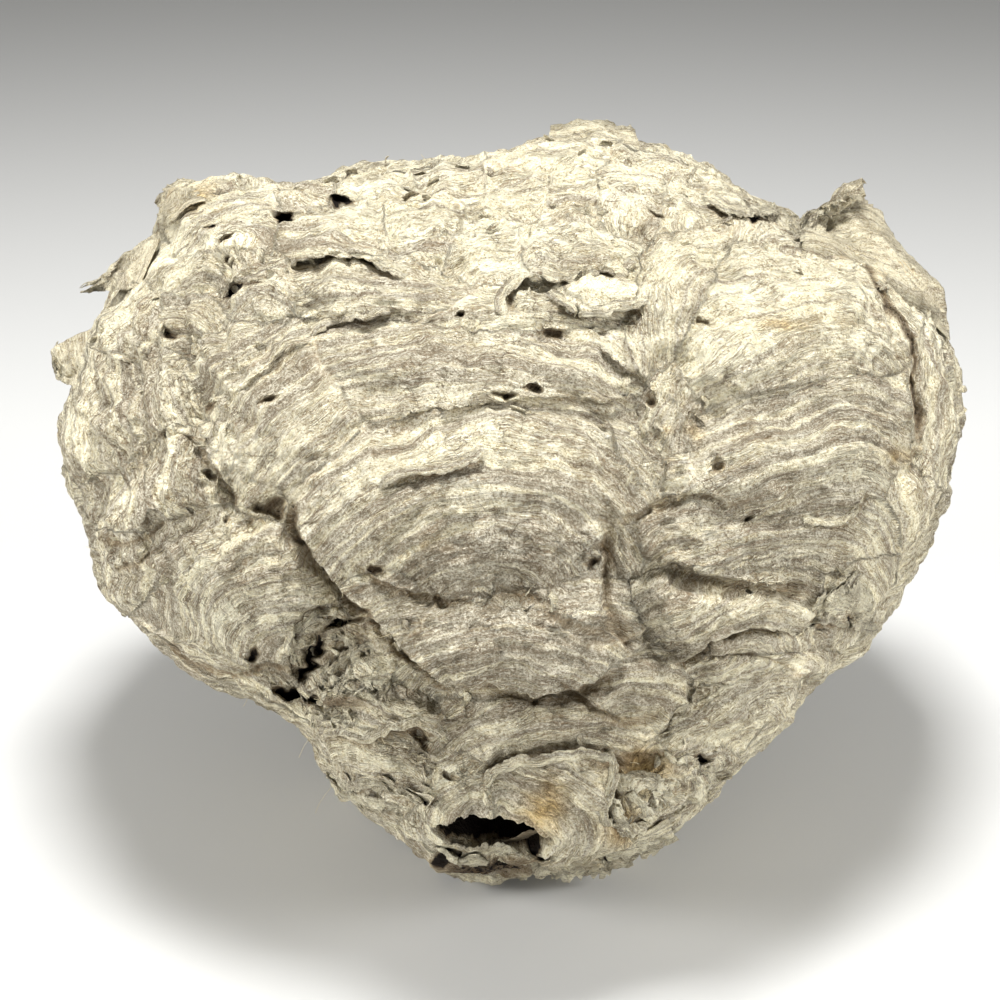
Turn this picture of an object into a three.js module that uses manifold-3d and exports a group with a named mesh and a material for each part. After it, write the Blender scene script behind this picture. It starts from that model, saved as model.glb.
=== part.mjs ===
import * as THREE from 'three';
import { mergeVertices } from 'three/addons/utils/BufferGeometryUtils.js';
import Module from 'manifold-3d';

// A hornet's nest: one hollow-looking ball of grey-buff paper, grown shell over shell, wide and
// lumpy above and narrowing to the torn lip round its entrance. It lies on its flattened back
// slope with the entrance low in front. Millimetres, +Z up, the origin under the middle of the box.

// ---- Driving dimensions ------------------------------------------------------------------

// The front is laid out on a face grid: x to the right and y down, in steps of GRID_STEP, on an
// upright plane through the middle of the nest that is tipped back by FACE_TILT. Lines of sight
// run together at a point VIEW_DISTANCE in front, so nearer things cover more steps.
const GRID_STEP = 0.288;
const FACE_TILT = THREE.MathUtils.degToRad(24);
const VIEW_DISTANCE = 560;
const GRID_MIDDLE = [500, 500];

const CENTRE = [505, 470]; // of the paper ball, on the grid
const FRONT_DEPTH = 92; // from the plane of the widest outline to the nearest paper
const BACK_DEPTH = 98;
const BLUNTNESS = 2.25; // 2 is an ellipsoid, more is squarer
const LEAN = THREE.MathUtils.degToRad(10); // the crown leans away from the face
const REST_DEPTH = 94; // from the grid's middle down to the flattened underside
const ORIGIN = new THREE.Vector3(2.9, 2.3, -REST_DEPTH); // under the middle of the finished box

const CELLS = 27; // facets along each edge of the ball's six patches
const FRONT_CROWDING = 0.36; // how far the facets draw in towards the face
const FACET_REACH = 8; // half a facet of the face, in grid steps
const SHEET = 2.2; // thickness of the loose flaps, thicker than real paper

// Turning points of the widest outline, clockwise from the right.
const OUTLINE = [
  [962, 470], [961, 400], [950, 330], [905, 268], [850, 242], [800, 222], [750, 194], [700, 160],
  [650, 143], [600, 134], [540, 140], [480, 150], [400, 162], [300, 176], [230, 180], [172, 196],
  [148, 245], [108, 300], [76, 365], [64, 420], [68, 490], [84, 535], [103, 592], [165, 648],
  [235, 700], [300, 731], [330, 772], [350, 797], [400, 833], [440, 866], [500, 874], [560, 876],
  [610, 866], [655, 845], [700, 805], [750, 758], [796, 714], [833, 675], [874, 632], [907, 585],
  [937, 531], [956, 500],
];

// Swellings of the face: middle x and y, half width, half height, turn in degrees, rise in mm.
const SWELLINGS = {
  crownLeft: [218, 222, 82, 46, 28, 8],
  temple: [262, 292, 56, 34, 8, 10],
  cheekTop: [232, 356, 62, 34, 30, 9],
  browOne: [338, 234, 60, 40, 2, 14],
  browTwo: [424, 226, 50, 42, 0, 12],
  browThree: [490, 250, 50, 50, 0, 12],
  browFour: [566, 244, 66, 40, 0, 14],
  browFive: [600, 292, 56, 30, 10, 12],
  crownKnobOne: [632, 196, 46, 42, 10, 12],
  crownKnobTwo: [718, 208, 60, 38, -20, 10],
  roofRight: [806, 250, 84, 28, -18, 9],
  waveBand: [400, 296, 140, 32, -5, 12],
  waveBandRight: [520, 312, 110, 34, 0, 12],
  upperPanel: [445, 378, 222, 62, 3, 15],
  leftPanel: [300, 420, 86, 92, 30, 15],
  middlePanel: [468, 500, 196, 112, -3, 20],
  chin: [500, 640, 142, 62, 0, 16],
  chinRight: [580, 620, 60, 56, 20, 14],
  chinLeft: [400, 610, 60, 50, -45, 13],
  rightRib: [672, 300, 42, 92, -22, 15],
  rightTop: [796, 330, 138, 92, 4, 19],
  rightLow: [800, 446, 146, 84, 20, 18],
  knuckleOne: [640, 470, 36, 50, 20, 10],
  knuckleTwo: [692, 470, 42, 38, 0, 12],
  rightArch: [690, 522, 72, 36, 10, 12],
  rightBelt: [790, 540, 140, 46, 8, 15],
  belly: [742, 612, 118, 52, 0, 16],
  bellyRight: [850, 600, 66, 48, 35, 12],
  jaw: [766, 664, 84, 30, -5, 10],
  jawLow: [756, 712, 100, 46, 24, 13],
  pocketKnob: [640, 688, 52, 42, 10, 11],
  lowerLip: [560, 800, 86, 60, 10, 12],
  lipRight: [664, 800, 56, 56, 30, 10],
  lipLeft: [450, 800, 64, 48, -25, 10],
  lowLeftOne: [374, 766, 80, 46, -28, 13],
  lowLeftTwo: [378, 712, 72, 32, -8, 11],
  leftBulge: [236, 590, 106, 82, -30, 18],
  leftHem: [232, 680, 92, 28, -35, 9],
  sideUpper: [124, 350, 60, 66, 20, 9],
  sideMiddle: [120, 470, 52, 70, 0, 9],
  sideLow: [128, 556, 58, 48, -20, 10],
  sideSwirl: [190, 450, 50, 66, 10, 9],
  rightEdge: [930, 430, 40, 150, 6, 12],
};

const VALLEY = 10; // depth in mm of the valley floor between swellings
const CREASE_SOFTNESS = 1.6; // mm of paper that fills the crease between two swellings

// Ledges, where a newer shell overhangs the one below it: how far the paper above the line
// lifts, how far the paper below it drops, and the width of that drop in grid steps. The lifted
// side is on the left of the line as it runs.
const LEDGES = {
  panelRidge: {
    lift: 6, drop: 5, width: 16,
    line: [[318, 505], [348, 444], [420, 413], [505, 405], [612, 399], [652, 386]],
  },
  browLipLeft: {
    lift: 5, drop: 6, width: 12,
    line: [[292, 268], [330, 257], [404, 275]],
  },
  browLipRight: {
    lift: 5, drop: 6, width: 12,
    line: [[506, 300], [535, 271], [621, 276]],
  },
  waveLip: {
    lift: 4, drop: 5, width: 12,
    line: [[318, 333], [352, 320], [385, 314]],
  },
  chinFold: {
    lift: 9, drop: 7, width: 22,
    line: [[352, 560], [388, 586], [480, 604], [560, 615], [625, 652]],
  },
  leftOverhang: {
    lift: 9, drop: 9, width: 20,
    line: [[284, 488], [303, 540], [342, 590], [430, 676]],
  },
  rightFold: {
    lift: 5, drop: 5, width: 24,
    line: [[622, 650], [602, 590], [606, 522]],
  },
  archRidge: {
    lift: 6, drop: 5, width: 16,
    line: [[604, 524], [660, 500], [697, 493], [731, 516]],
  },
  beltGroove: {
    lift: 8, drop: 7, width: 22,
    line: [[664, 568], [740, 582], [815, 582]],
  },
  bellyLedge: {
    lift: 5, drop: 6, width: 12,
    line: [[668, 668], [719, 640], [813, 629], [874, 634]],
  },
  lipSide: {
    lift: 4, drop: 5, width: 12,
    line: [[628, 838], [611, 827], [615, 785], [607, 752]],
  },
  lowShelf: {
    lift: 5, drop: 5, width: 12,
    line: [[325, 728], [372, 738], [440, 735]],
  },
};
const LEDGE_REACH = 60; // grid steps over which a lifted ledge dies away behind its edge
const LEDGE_SLOPE = 9; // half the width of the slope between a ledge's two sides
const DEEPEST = 9; // no crease goes further than this below the smooth front

// Torn hollows of the face: x, y, half width, half height in grid steps, depth in mm.
const TORN_HOLLOWS = {
  leftTear: [316, 644, 30, 40, 12],
  foldPocket: [276, 508, 30, 14, 5],
  throat: [640, 590, 30, 46, 7],
  lowRecess: [530, 722, 70, 22, 6],
};

// Scallops on the sides, back and crown: overlapping pouches like shingles.
const SCALLOPS = 58;
const SCALLOP_HALF = 0.26; // half height in radians, seen from the nest's middle
const SCALLOP_RISE = 12;
const SCALLOP_INSET = 6; // the creases cut in and the pouches stand out by about this much
const SCALLOP_SQUASH = 1.35; // wider than high

// The scar on the back of the crown where the nest hung from its branch.
const SCAR = { direction: [0.12, 0.8, -0.55], half: 0.2, rise: 7 };

// The way in: a flattened round hole that runs level into the nest.
const ENTRANCE = { x: 497, y: 836, halfWidth: 13, halfHeight: 8, depth: 34, sides: 20 };

// ---- The face grid -----------------------------------------------------------------------

const RIGHT = new THREE.Vector3(1, 0, 0);
const UP = new THREE.Vector3(0, Math.sin(FACE_TILT), Math.cos(FACE_TILT));
const OUT = new THREE.Vector3(0, -Math.cos(FACE_TILT), Math.sin(FACE_TILT));

const smooth = (low, high, value) => THREE.MathUtils.smoothstep(value, low, high);

// The point seen at x, y on the grid, at a depth in mm in front of its plane.
function place(x, y, depth) {
  const scale = GRID_STEP * (1 - depth / VIEW_DISTANCE);
  return new THREE.Vector3()
    .addScaledVector(RIGHT, (x - GRID_MIDDLE[0]) * scale)
    .addScaledVector(UP, (GRID_MIDDLE[1] - y) * scale)
    .addScaledVector(OUT, depth)
    .sub(ORIGIN);
}

// ---- The ball of paper -------------------------------------------------------------------

const outlinePolar = OUTLINE
  .map(([x, y]) => [Math.atan2(CENTRE[1] - y, x - CENTRE[0]), Math.hypot(x - CENTRE[0], y - CENTRE[1])])
  .sort((a, b) => a[0] - b[0]);

// Distance from CENTRE to the widest outline, in grid steps, by a smooth closed curve.
function rim(angle) {
  const count = outlinePolar.length;
  const turn = 2 * Math.PI;
  const at = (i) => {
    const [a, r] = outlinePolar[(i + count) % count];
    return [a + turn * Math.floor(i / count), r];
  };
  const first = outlinePolar[0][0];
  const wrapped = angle < first ? angle + turn : angle;
  let i = 0;
  while (i < count - 1 && at(i + 1)[0] <= wrapped) i += 1;
  const [[a0, r0], [a1, r1], [a2, r2], [a3, r3]] = [at(i - 1), at(i), at(i + 1), at(i + 2)];
  const span = a2 - a1;
  const t = (wrapped - a1) / span;
  const leave = ((r2 - r0) / (a2 - a0)) * span;
  const arrive = ((r3 - r1) / (a3 - a1)) * span;
  return (2 * t ** 3 - 3 * t ** 2 + 1) * r1 + (t ** 3 - 2 * t ** 2 + t) * leave
    + (3 * t ** 2 - 2 * t ** 3) * r2 + (t ** 3 - t ** 2) * arrive;
}

const leanAt = (y) => -Math.tan(LEAN) * (GRID_MIDDLE[1] - y) * GRID_STEP;

// Depth of the smooth front at x, y. Outside the outline it is the depth of the outline.
function frontDepth(x, y) {
  const [dx, dy] = [x - CENTRE[0], CENTRE[1] - y];
  const share = Math.min(Math.hypot(dx, dy) / rim(Math.atan2(dy, dx)), 1);
  return FRONT_DEPTH * (1 - share ** BLUNTNESS) ** (1 / BLUNTNESS) + leanAt(y);
}

function swellingRise(x, y) {
  let sum = Math.exp(-VALLEY / CREASE_SOFTNESS);
  for (const [cx, cy, halfWidth, halfHeight, turn, top] of Object.values(SWELLINGS)) {
    const [c, s] = [Math.cos(THREE.MathUtils.degToRad(turn)), Math.sin(THREE.MathUtils.degToRad(turn))];
    const [dx, dy] = [x - cx, cy - y];
    const away = Math.hypot((dx * c + dy * s) / halfWidth, (dy * c - dx * s) / halfHeight);
    sum += Math.exp((top * (1 - Math.min(away, 3) ** 2.2)) / CREASE_SOFTNESS);
  }
  return CREASE_SOFTNESS * Math.log(sum);
}

function ledgeRise({ lift, drop, width, line }, x, y) {
  const lengths = line.slice(1).map(([px, py], i) => Math.hypot(px - line[i][0], py - line[i][1]));
  const whole = lengths.reduce((sum, length) => sum + length, 0);
  let nearest = { distance: Infinity };
  let before = 0;
  lengths.forEach((length, i) => {
    const [ax, ay] = line[i];
    const [ex, ey] = [(line[i + 1][0] - ax) / length, (line[i + 1][1] - ay) / length];
    const along = THREE.MathUtils.clamp((x - ax) * ex + (y - ay) * ey, 0, length);
    const [qx, qy] = [x - ax - along * ex, y - ay - along * ey];
    const distance = Math.hypot(qx, qy);
    if (distance < nearest.distance) {
      nearest = { distance, left: qx * ey - qy * ex, share: (before + along) / whole };
    }
    before += length;
  });
  const ends = smooth(0, 0.25, Math.min(nearest.share, 1 - nearest.share));
  const raised = lift * Math.exp((-1.5 * nearest.distance) / LEDGE_REACH);
  const sunk = -drop * Math.exp(-((nearest.distance / width) ** 2));
  return ends * THREE.MathUtils.lerp(sunk, raised, smooth(-LEDGE_SLOPE, LEDGE_SLOPE, nearest.left));
}

function hollowFall([cx, cy, halfWidth, halfHeight, depth], x, y) {
  return -depth * Math.exp(-(((x - cx) / halfWidth) ** 2) - ((y - cy) / halfHeight) ** 2);
}

// All that stands out from the smooth front at x, y, in mm.
function reliefAt(x, y) {
  const ledges = Object.values(LEDGES).reduce((sum, ledge) => sum + ledgeRise(ledge, x, y), 0);
  const hollows = Object.values(TORN_HOLLOWS).reduce((sum, hollow) => sum + hollowFall(hollow, x, y), 0);
  return Math.max(swellingRise(x, y) + ledges + hollows, -DEEPEST);
}

// The same, evened out over a patch the size of a facet.
function relief(x, y) {
  let sum = 2 * reliefAt(x, y);
  for (let i = 0; i < 6; i += 1) {
    const turn = (i * Math.PI) / 3;
    sum += reliefAt(x + FACET_REACH * Math.cos(turn), y + FACET_REACH * Math.sin(turn));
  }
  return sum / 8;
}

// Middles of the scallops, spread evenly over a sphere along a spiral.
const GOLDEN_ANGLE = Math.PI * (3 - Math.sqrt(5));
const scallops = Array.from({ length: SCALLOPS }, (_, i) => {
  const up = 1 - (2 * i + 1) / SCALLOPS;
  const around = Math.sqrt(1 - up * up);
  return new THREE.Vector3(around * Math.cos(i * GOLDEN_ANGLE), up, around * Math.sin(i * GOLDEN_ANGLE));
});
const scarMiddle = new THREE.Vector3(...SCAR.direction).normalize();

function scallopRise(direction) {
  let rise = -4;
  for (const middle of scallops) {
    const across = direction.clone().sub(middle);
    const away = Math.hypot(across.x / SCALLOP_SQUASH, across.y, across.z / SCALLOP_SQUASH) / SCALLOP_HALF;
    const hang = 1 - 0.5 * smooth(-SCALLOP_HALF, SCALLOP_HALF, across.y);
    rise = Math.max(rise, SCALLOP_RISE * (hang - away ** 2));
  }
  const scar = direction.distanceTo(scarMiddle) / SCAR.half;
  return rise - SCALLOP_INSET + SCAR.rise * Math.exp(-(scar ** 4));
}

// A point of the paper's surface in the direction whose parts are right, up and out.
function surface(direction) {
  const { x: right, y: up, z: out } = direction;
  const angle = Math.atan2(up, right);
  const reach = rim(angle) * Math.hypot(right, up) ** (2 / BLUNTNESS);
  const x = CENTRE[0] + reach * Math.cos(angle);
  const y = CENTRE[1] - reach * Math.sin(angle);
  const depth = (out > 0 ? FRONT_DEPTH : -BACK_DEPTH) * Math.abs(out) ** (2 / BLUNTNESS);
  const facing = smooth(0.12, 0.42, out);
  const point = place(x, y, depth + leanAt(y) + facing * relief(x, y));
  const middle = place(...CENTRE, 0);
  const outward = point.clone().sub(middle).normalize();
  return point.addScaledVector(outward, (1 - facing) * scallopRise(direction));
}

function paperBall() {
  const geometry = new THREE.BoxGeometry(2, 2, 2, CELLS, CELLS, CELLS);
  geometry.deleteAttribute('normal');
  geometry.deleteAttribute('uv');
  const ball = mergeVertices(geometry, 1e-4);
  const position = ball.attributes.position;
  const even = (value) => Math.tan((value * Math.PI) / 4);
  for (let i = 0; i < position.count; i += 1) {
    const direction = new THREE.Vector3().fromBufferAttribute(position, i);
    direction.set(even(direction.x), even(direction.y), even(direction.z)).normalize();
    const fromOut = Math.acos(THREE.MathUtils.clamp(direction.z, -1, 1));
    const drawnIn = fromOut - FRONT_CROWDING * Math.sin(fromOut);
    const sideways = Math.hypot(direction.x, direction.y) || 1;
    direction.x *= Math.sin(drawnIn) / sideways;
    direction.y *= Math.sin(drawnIn) / sideways;
    direction.z = Math.cos(drawnIn);
    const point = surface(direction);
    position.setXYZ(i, point.x, point.y, point.z);
  }
  return ball;
}

// ---- Loose flaps -------------------------------------------------------------------------

// Each flap is a sheet between lines across it, from its root in the ball to its torn edge.
// A point of a line is x, y on the grid and how far it stands out from the ball there, in mm.
const FLAPS = {
  fin: [
    [[800, 262, -8], [840, 282, -8], [885, 300, -8], [925, 318, -8], [950, 340, -8]],
    [[803, 240, 0], [838, 245, 4], [875, 262, 5], [915, 290, 4], [946, 315, 0]],
    [[805, 221, 2], [838, 213, 8], [868, 224, 9], [905, 262, 7], [945, 292, 2]],
    [[808, 218, 0], [843, 194, 4], [866, 187, 5], [906, 250, 3], [945, 286, 0]],
  ],
  sidePoint: [
    [[160, 236, -6], [165, 262, -6], [168, 290, -6]],
    [[128, 250, 2], [132, 268, 5], [130, 284, 2]],
    [[100, 276, 3], [102, 282, 4], [100, 288, 3]],
    [[82, 286, 3], [82, 289, 3], [82, 292, 3]],
  ],
  sideScroll: [
    [[92, 330, -5], [90, 358, -5], [88, 388, -5]],
    [[70, 338, 2], [68, 360, 4], [70, 384, 2]],
    [[54, 348, 3], [50, 362, 4], [58, 378, 3]],
  ],
  crownTuft: [
    [[215, 186, -6], [196, 214, -6], [172, 240, -6]],
    [[190, 180, 3], [176, 200, 5], [160, 216, 3]],
    [[168, 178, 3], [162, 190, 4], [156, 206, 3]],
  ],
  crownFlake: [
    [[548, 150, -8], [592, 146, -8], [640, 152, -8]],
    [[550, 128, -2], [592, 124, 0], [636, 132, -2]],
    [[552, 116, -3], [590, 110, -2], [630, 122, -3]],
  ],
  lipTipRight: [
    [[600, 838, -5], [636, 836, -5], [668, 818, -5]],
    [[606, 858, 2], [640, 852, 3], [674, 836, 2]],
    [[612, 868, 1], [642, 863, 2], [682, 842, 1]],
  ],
};

function flapGeometry(lines) {
  const rows = lines.map((line) => line.map(([x, y, proud]) => place(x, y, frontDepth(x, y) + proud)));
  const [last, width] = [rows.length - 1, rows[0].length];
  const corners = [];
  rows.forEach((row, i) => row.forEach((point, j) => {
    const along = rows[Math.min(i + 1, last)][j].clone().sub(rows[Math.max(i - 1, 0)][j]);
    const across = row[Math.min(j + 1, width - 1)].clone().sub(row[Math.max(j - 1, 0)]);
    const half = along.cross(across).setLength((SHEET / 2) * (1 - (0.5 * i) / last));
    corners.push(point.clone().add(half), point.clone().sub(half));
  }));
  const at = (i, j, side) => 2 * (i * width + j) + side;
  const faces = [];
  const quad = (a, b, c, d) => faces.push(a, b, c, a, c, d);
  for (let i = 0; i < last; i += 1) {
    for (let j = 0; j < width - 1; j += 1) {
      quad(at(i, j, 0), at(i + 1, j, 0), at(i + 1, j + 1, 0), at(i, j + 1, 0));
      quad(at(i, j, 1), at(i, j + 1, 1), at(i + 1, j + 1, 1), at(i + 1, j, 1));
    }
    quad(at(i, 0, 0), at(i, 0, 1), at(i + 1, 0, 1), at(i + 1, 0, 0));
    quad(at(i, width - 1, 0), at(i + 1, width - 1, 0), at(i + 1, width - 1, 1), at(i, width - 1, 1));
  }
  for (let j = 0; j < width - 1; j += 1) {
    quad(at(0, j, 0), at(0, j + 1, 0), at(0, j + 1, 1), at(0, j, 1));
    quad(at(last, j, 0), at(last, j, 1), at(last, j + 1, 1), at(last, j + 1, 0));
  }
  const geometry = new THREE.BufferGeometry();
  const flat = corners.flatMap((corner) => corner.toArray());
  geometry.setAttribute('position', new THREE.Float32BufferAttribute(flat, 3));
  geometry.setIndex(faces);
  return geometry;
}

// ---- The entrance and the resting face ---------------------------------------------------

function entrancePlug() {
  const { x, y, halfWidth, halfHeight, depth, sides } = ENTRANCE;
  const mouth = place(x, y, frontDepth(x, y));
  const plug = new THREE.CylinderGeometry(1, 1, 2 * depth, sides);
  plug.scale(halfWidth, 1, halfHeight);
  return plug.translate(mouth.x, mouth.y, mouth.z);
}

function floorBlock() {
  const size = 400;
  return new THREE.BoxGeometry(size, size, size).translate(0, 0, -size / 2);
}

// ---- Joining it all ----------------------------------------------------------------------

const wasm = await Module();
wasm.setup();

function solid(geometry) {
  const bare = geometry.clone();
  bare.deleteAttribute('normal');
  bare.deleteAttribute('uv');
  const merged = mergeVertices(bare, 1e-4);
  const vertProperties = new Float32Array(merged.attributes.position.array);
  const triVerts = new Uint32Array(merged.index.array);
  const body = new wasm.Manifold(new wasm.Mesh({ numProp: 3, vertProperties, triVerts }));
  if (body.volume() > 0) return body;
  const turned = triVerts.map((_, i) => triVerts[i + [0, 1, -1][i % 3]]);
  return new wasm.Manifold(new wasm.Mesh({ numProp: 3, vertProperties, triVerts: turned }));
}

let nest = solid(paperBall());
for (const lines of Object.values(FLAPS)) nest = nest.add(solid(flapGeometry(lines)));
nest = nest.subtract(solid(entrancePlug())).subtract(solid(floorBlock()));

const { vertProperties, triVerts } = nest.getMesh();
const nestGeometry = new THREE.BufferGeometry();
nestGeometry.setAttribute('position', new THREE.BufferAttribute(vertProperties, 3));
nestGeometry.setIndex(new THREE.BufferAttribute(triVerts, 1));
nestGeometry.computeVertexNormals();

const nestPaper = new THREE.MeshStandardMaterial({ color: '#bfb69d', roughness: 0.92, metalness: 0 });
const envelope = new THREE.Mesh(nestGeometry, nestPaper);
envelope.name = 'paper_envelope';

const group = new THREE.Group();
group.add(envelope);

export default group;
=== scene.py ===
import math

import bmesh
import bpy
import numpy as np
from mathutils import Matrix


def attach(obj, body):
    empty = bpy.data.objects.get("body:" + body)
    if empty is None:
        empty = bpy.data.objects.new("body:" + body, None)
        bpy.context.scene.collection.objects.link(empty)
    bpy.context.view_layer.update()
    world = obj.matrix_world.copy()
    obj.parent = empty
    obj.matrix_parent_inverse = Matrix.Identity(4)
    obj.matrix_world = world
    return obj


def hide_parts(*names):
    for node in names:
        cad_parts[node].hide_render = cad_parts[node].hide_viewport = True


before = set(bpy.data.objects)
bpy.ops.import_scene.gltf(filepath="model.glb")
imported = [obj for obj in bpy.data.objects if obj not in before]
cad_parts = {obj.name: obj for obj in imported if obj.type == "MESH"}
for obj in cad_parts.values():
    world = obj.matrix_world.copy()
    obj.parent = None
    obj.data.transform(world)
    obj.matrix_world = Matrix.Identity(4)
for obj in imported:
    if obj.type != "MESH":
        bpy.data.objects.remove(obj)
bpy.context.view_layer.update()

# ---- The paper envelope: its form --------------------------------------------------------
# One grown shell of grey-buff paper, chewed wood fibre laid down in arcs by the hornets. Each
# pouch overhangs the one below, and the whole ball narrows to the torn lip of its entrance.
# It lies loose on its flattened back slope.

# The face is laid out on a grid, x to the right and y down, in steps of GRID_STEP mm, on an
# upright plane tipped back by FACE_TILT. Lines of sight run together at VIEW_DISTANCE. Sizes are
# in mm, which MM turns into metres.
GRID_STEP = 0.288
FACE_TILT = math.radians(24)
VIEW_DISTANCE = 560
GRID_MIDDLE = 500
CENTRE = (505, 470)
FRONT_DEPTH = 92
BACK_DEPTH = 98
BLUNTNESS = 2.25
LEAN = math.radians(10)
ORIGIN = np.array((2.9, 2.3, -94.0))
MM = 0.001

RIGHT = np.array((1.0, 0.0, 0.0))
UP = np.array((0.0, math.sin(FACE_TILT), math.cos(FACE_TILT)))
OUT = np.array((0.0, -math.cos(FACE_TILT), math.sin(FACE_TILT)))

# Turning points of the widest outline, clockwise from the right.
OUTLINE = np.array([
    (962, 470), (961, 400), (950, 330), (905, 268), (850, 242), (800, 222), (750, 194), (700, 160),
    (650, 143), (600, 134), (540, 140), (480, 150), (400, 162), (300, 176), (230, 180), (172, 196),
    (148, 245), (108, 300), (76, 365), (64, 420), (68, 490), (84, 535), (103, 592), (165, 648),
    (235, 700), (300, 731), (330, 772), (350, 797), (400, 833), (440, 866), (500, 874), (560, 876),
    (610, 866), (655, 845), (700, 805), (750, 758), (796, 714), (833, 675), (874, 632), (907, 585),
    (937, 531), (956, 500)], float)

# Swellings of the face: middle x and y, half width, half height, turn in degrees, rise in mm,
# and how far to the right and down of the middle its growth arcs are centred.
SWELLINGS = {
    "crown_left": (218, 222, 82, 46, 28, 4, 20, 90),
    "crown_knob": (190, 190, 34, 22, 10, 2.5, 0, 40),
    "crown_left_low": (205, 268, 52, 26, 12, 4.5, 0, 60),
    "temple": (262, 292, 52, 30, 8, 5, 10, 60),
    "temple_low": (190, 322, 42, 26, 20, 4, 0, 60),
    "cheek_top": (232, 356, 62, 30, 30, 4.5, 115, 165),
    "brow_1": (338, 234, 58, 38, 2, 6, 0, 130),
    "brow_2": (424, 226, 46, 40, 0, 4.5, 0, 130),
    "brow_3": (490, 250, 46, 48, 0, 4.5, 10, 130),
    "brow_4": (566, 244, 64, 36, 0, 6, 0, 140),
    "brow_5": (600, 292, 54, 28, 10, 5, 0, 140),
    "crown_1": (300, 196, 40, 22, 0, 2.6, 0, 110),
    "crown_2": (380, 192, 44, 22, 0, 2.6, 0, 110),
    "crown_3": (452, 188, 44, 22, 0, 2.6, 0, 110),
    "crown_4": (520, 190, 44, 28, 0, 2.8, 0, 110),
    "crown_5": (572, 196, 40, 30, 0, 2.8, 0, 110),
    "crown_6": (632, 196, 44, 40, 10, 4.5, 0, 60),
    "crown_7": (692, 208, 40, 36, -10, 3.8, 0, 70),
    "crown_8": (742, 212, 56, 26, -25, 4, 0, 90),
    "crown_9": (650, 160, 46, 24, -15, 2.6, 0, 90),
    "crown_10": (560, 160, 60, 20, 0, 2.6, 0, 110),
    "roof_right": (800, 246, 84, 24, -18, 4.5, 0, 80),
    "wave_band": (388, 292, 128, 30, -5, 7, 0, 300),
    "wave_band_2": (512, 312, 110, 32, 0, 7, 0, 300),
    "upper_panel": (445, 378, 222, 62, 3, 9, 10, 420),
    "left_panel": (300, 420, 86, 92, 30, 9, 180, 200),
    "middle_panel": (468, 500, 196, 112, -3, 15, 12, 150),
    "chin": (500, 640, 142, 62, 0, 12, 0, 200),
    "chin_right": (580, 620, 60, 56, 20, 9.5, 0, 200),
    "chin_left": (400, 610, 60, 50, -45, 9.5, 60, 160),
    "right_rib": (672, 300, 40, 92, -22, 9, 140, 80),
    "right_top": (796, 330, 138, 92, 4, 11.5, 4, 190),
    "right_low": (800, 446, 146, 84, 20, 13.5, 40, 320),
    "right_neck": (672, 410, 34, 60, 0, 5.5, 150, 60),
    "knuckle_1": (640, 462, 36, 50, 20, 4, -60, 90),
    "knuckle_2": (690, 470, 44, 38, 0, 5.5, 0, 90),
    "knuckle_3": (620, 505, 36, 24, 0, 3, 0, 120),
    "right_arch": (690, 522, 70, 34, 10, 6.5, 10, 80),
    "right_belt": (790, 540, 140, 44, 8, 11, -20, 250),
    "belly": (742, 606, 116, 52, 0, 13, 8, 110),
    "belly_right": (850, 600, 66, 46, 35, 9, -100, 60),
    "jaw_1": (766, 674, 84, 26, -5, 6, 4, 110),
    "jaw_2": (756, 712, 100, 44, 24, 10, 4, 90),
    "jaw_3": (700, 762, 60, 30, 30, 7, 0, 60),
    "pocket_knob": (640, 688, 50, 40, 10, 4, 0, 120),
    "throat": (520, 728, 110, 34, 0, 4, 60, 200),
    "lower_lip": (560, 800, 84, 58, 10, 9, -80, 100),
    "lip_right": (664, 800, 54, 54, 30, 7.5, 60, 60),
    "lip_left": (450, 800, 62, 46, -25, 7.5, 60, 60),
    "low_left_1": (374, 766, 78, 44, -28, 10, -10, 120),
    "low_left_2": (378, 712, 70, 28, -8, 8, -10, 120),
    "torn_shelf": (340, 650, 50, 40, -30, 4.5, 0, 40),
    "left_bulge": (236, 590, 106, 82, -30, 13.5, 95, 100),
    "left_hem": (232, 680, 92, 24, -35, 7, -104, 170),
    "side_1": (104, 400, 44, 90, 0, 7, 160, 0),
    "side_2": (126, 500, 40, 50, 0, 7, 160, 0),
    "side_3": (128, 560, 54, 42, -20, 7.5, 160, 20),
    "side_swirl": (186, 470, 46, 60, 10, 7, 60, 0),
    "side_upper": (120, 330, 50, 46, 30, 7, 100, 60),
    "side_mid": (160, 400, 44, 50, 0, 7, 90, 0),
    "cheek_fold_1": (226, 440, 40, 44, -30, 4.5, 60, 30),
    "cheek_fold_2": (262, 490, 40, 30, -40, 3.5, 40, 40),
    "right_edge_1": (936, 400, 34, 110, 0, 9, -160, 0),
    "right_edge_2": (920, 520, 40, 70, 20, 8, -160, 0),
    "right_edge_3": (880, 300, 60, 40, -50, 9, -90, 90),
}

# How deep the valleys between them may sink, and how softly neighbours run together, in mm.
VALLEY = 5
CREASE_SOFTNESS = 1.5

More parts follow.
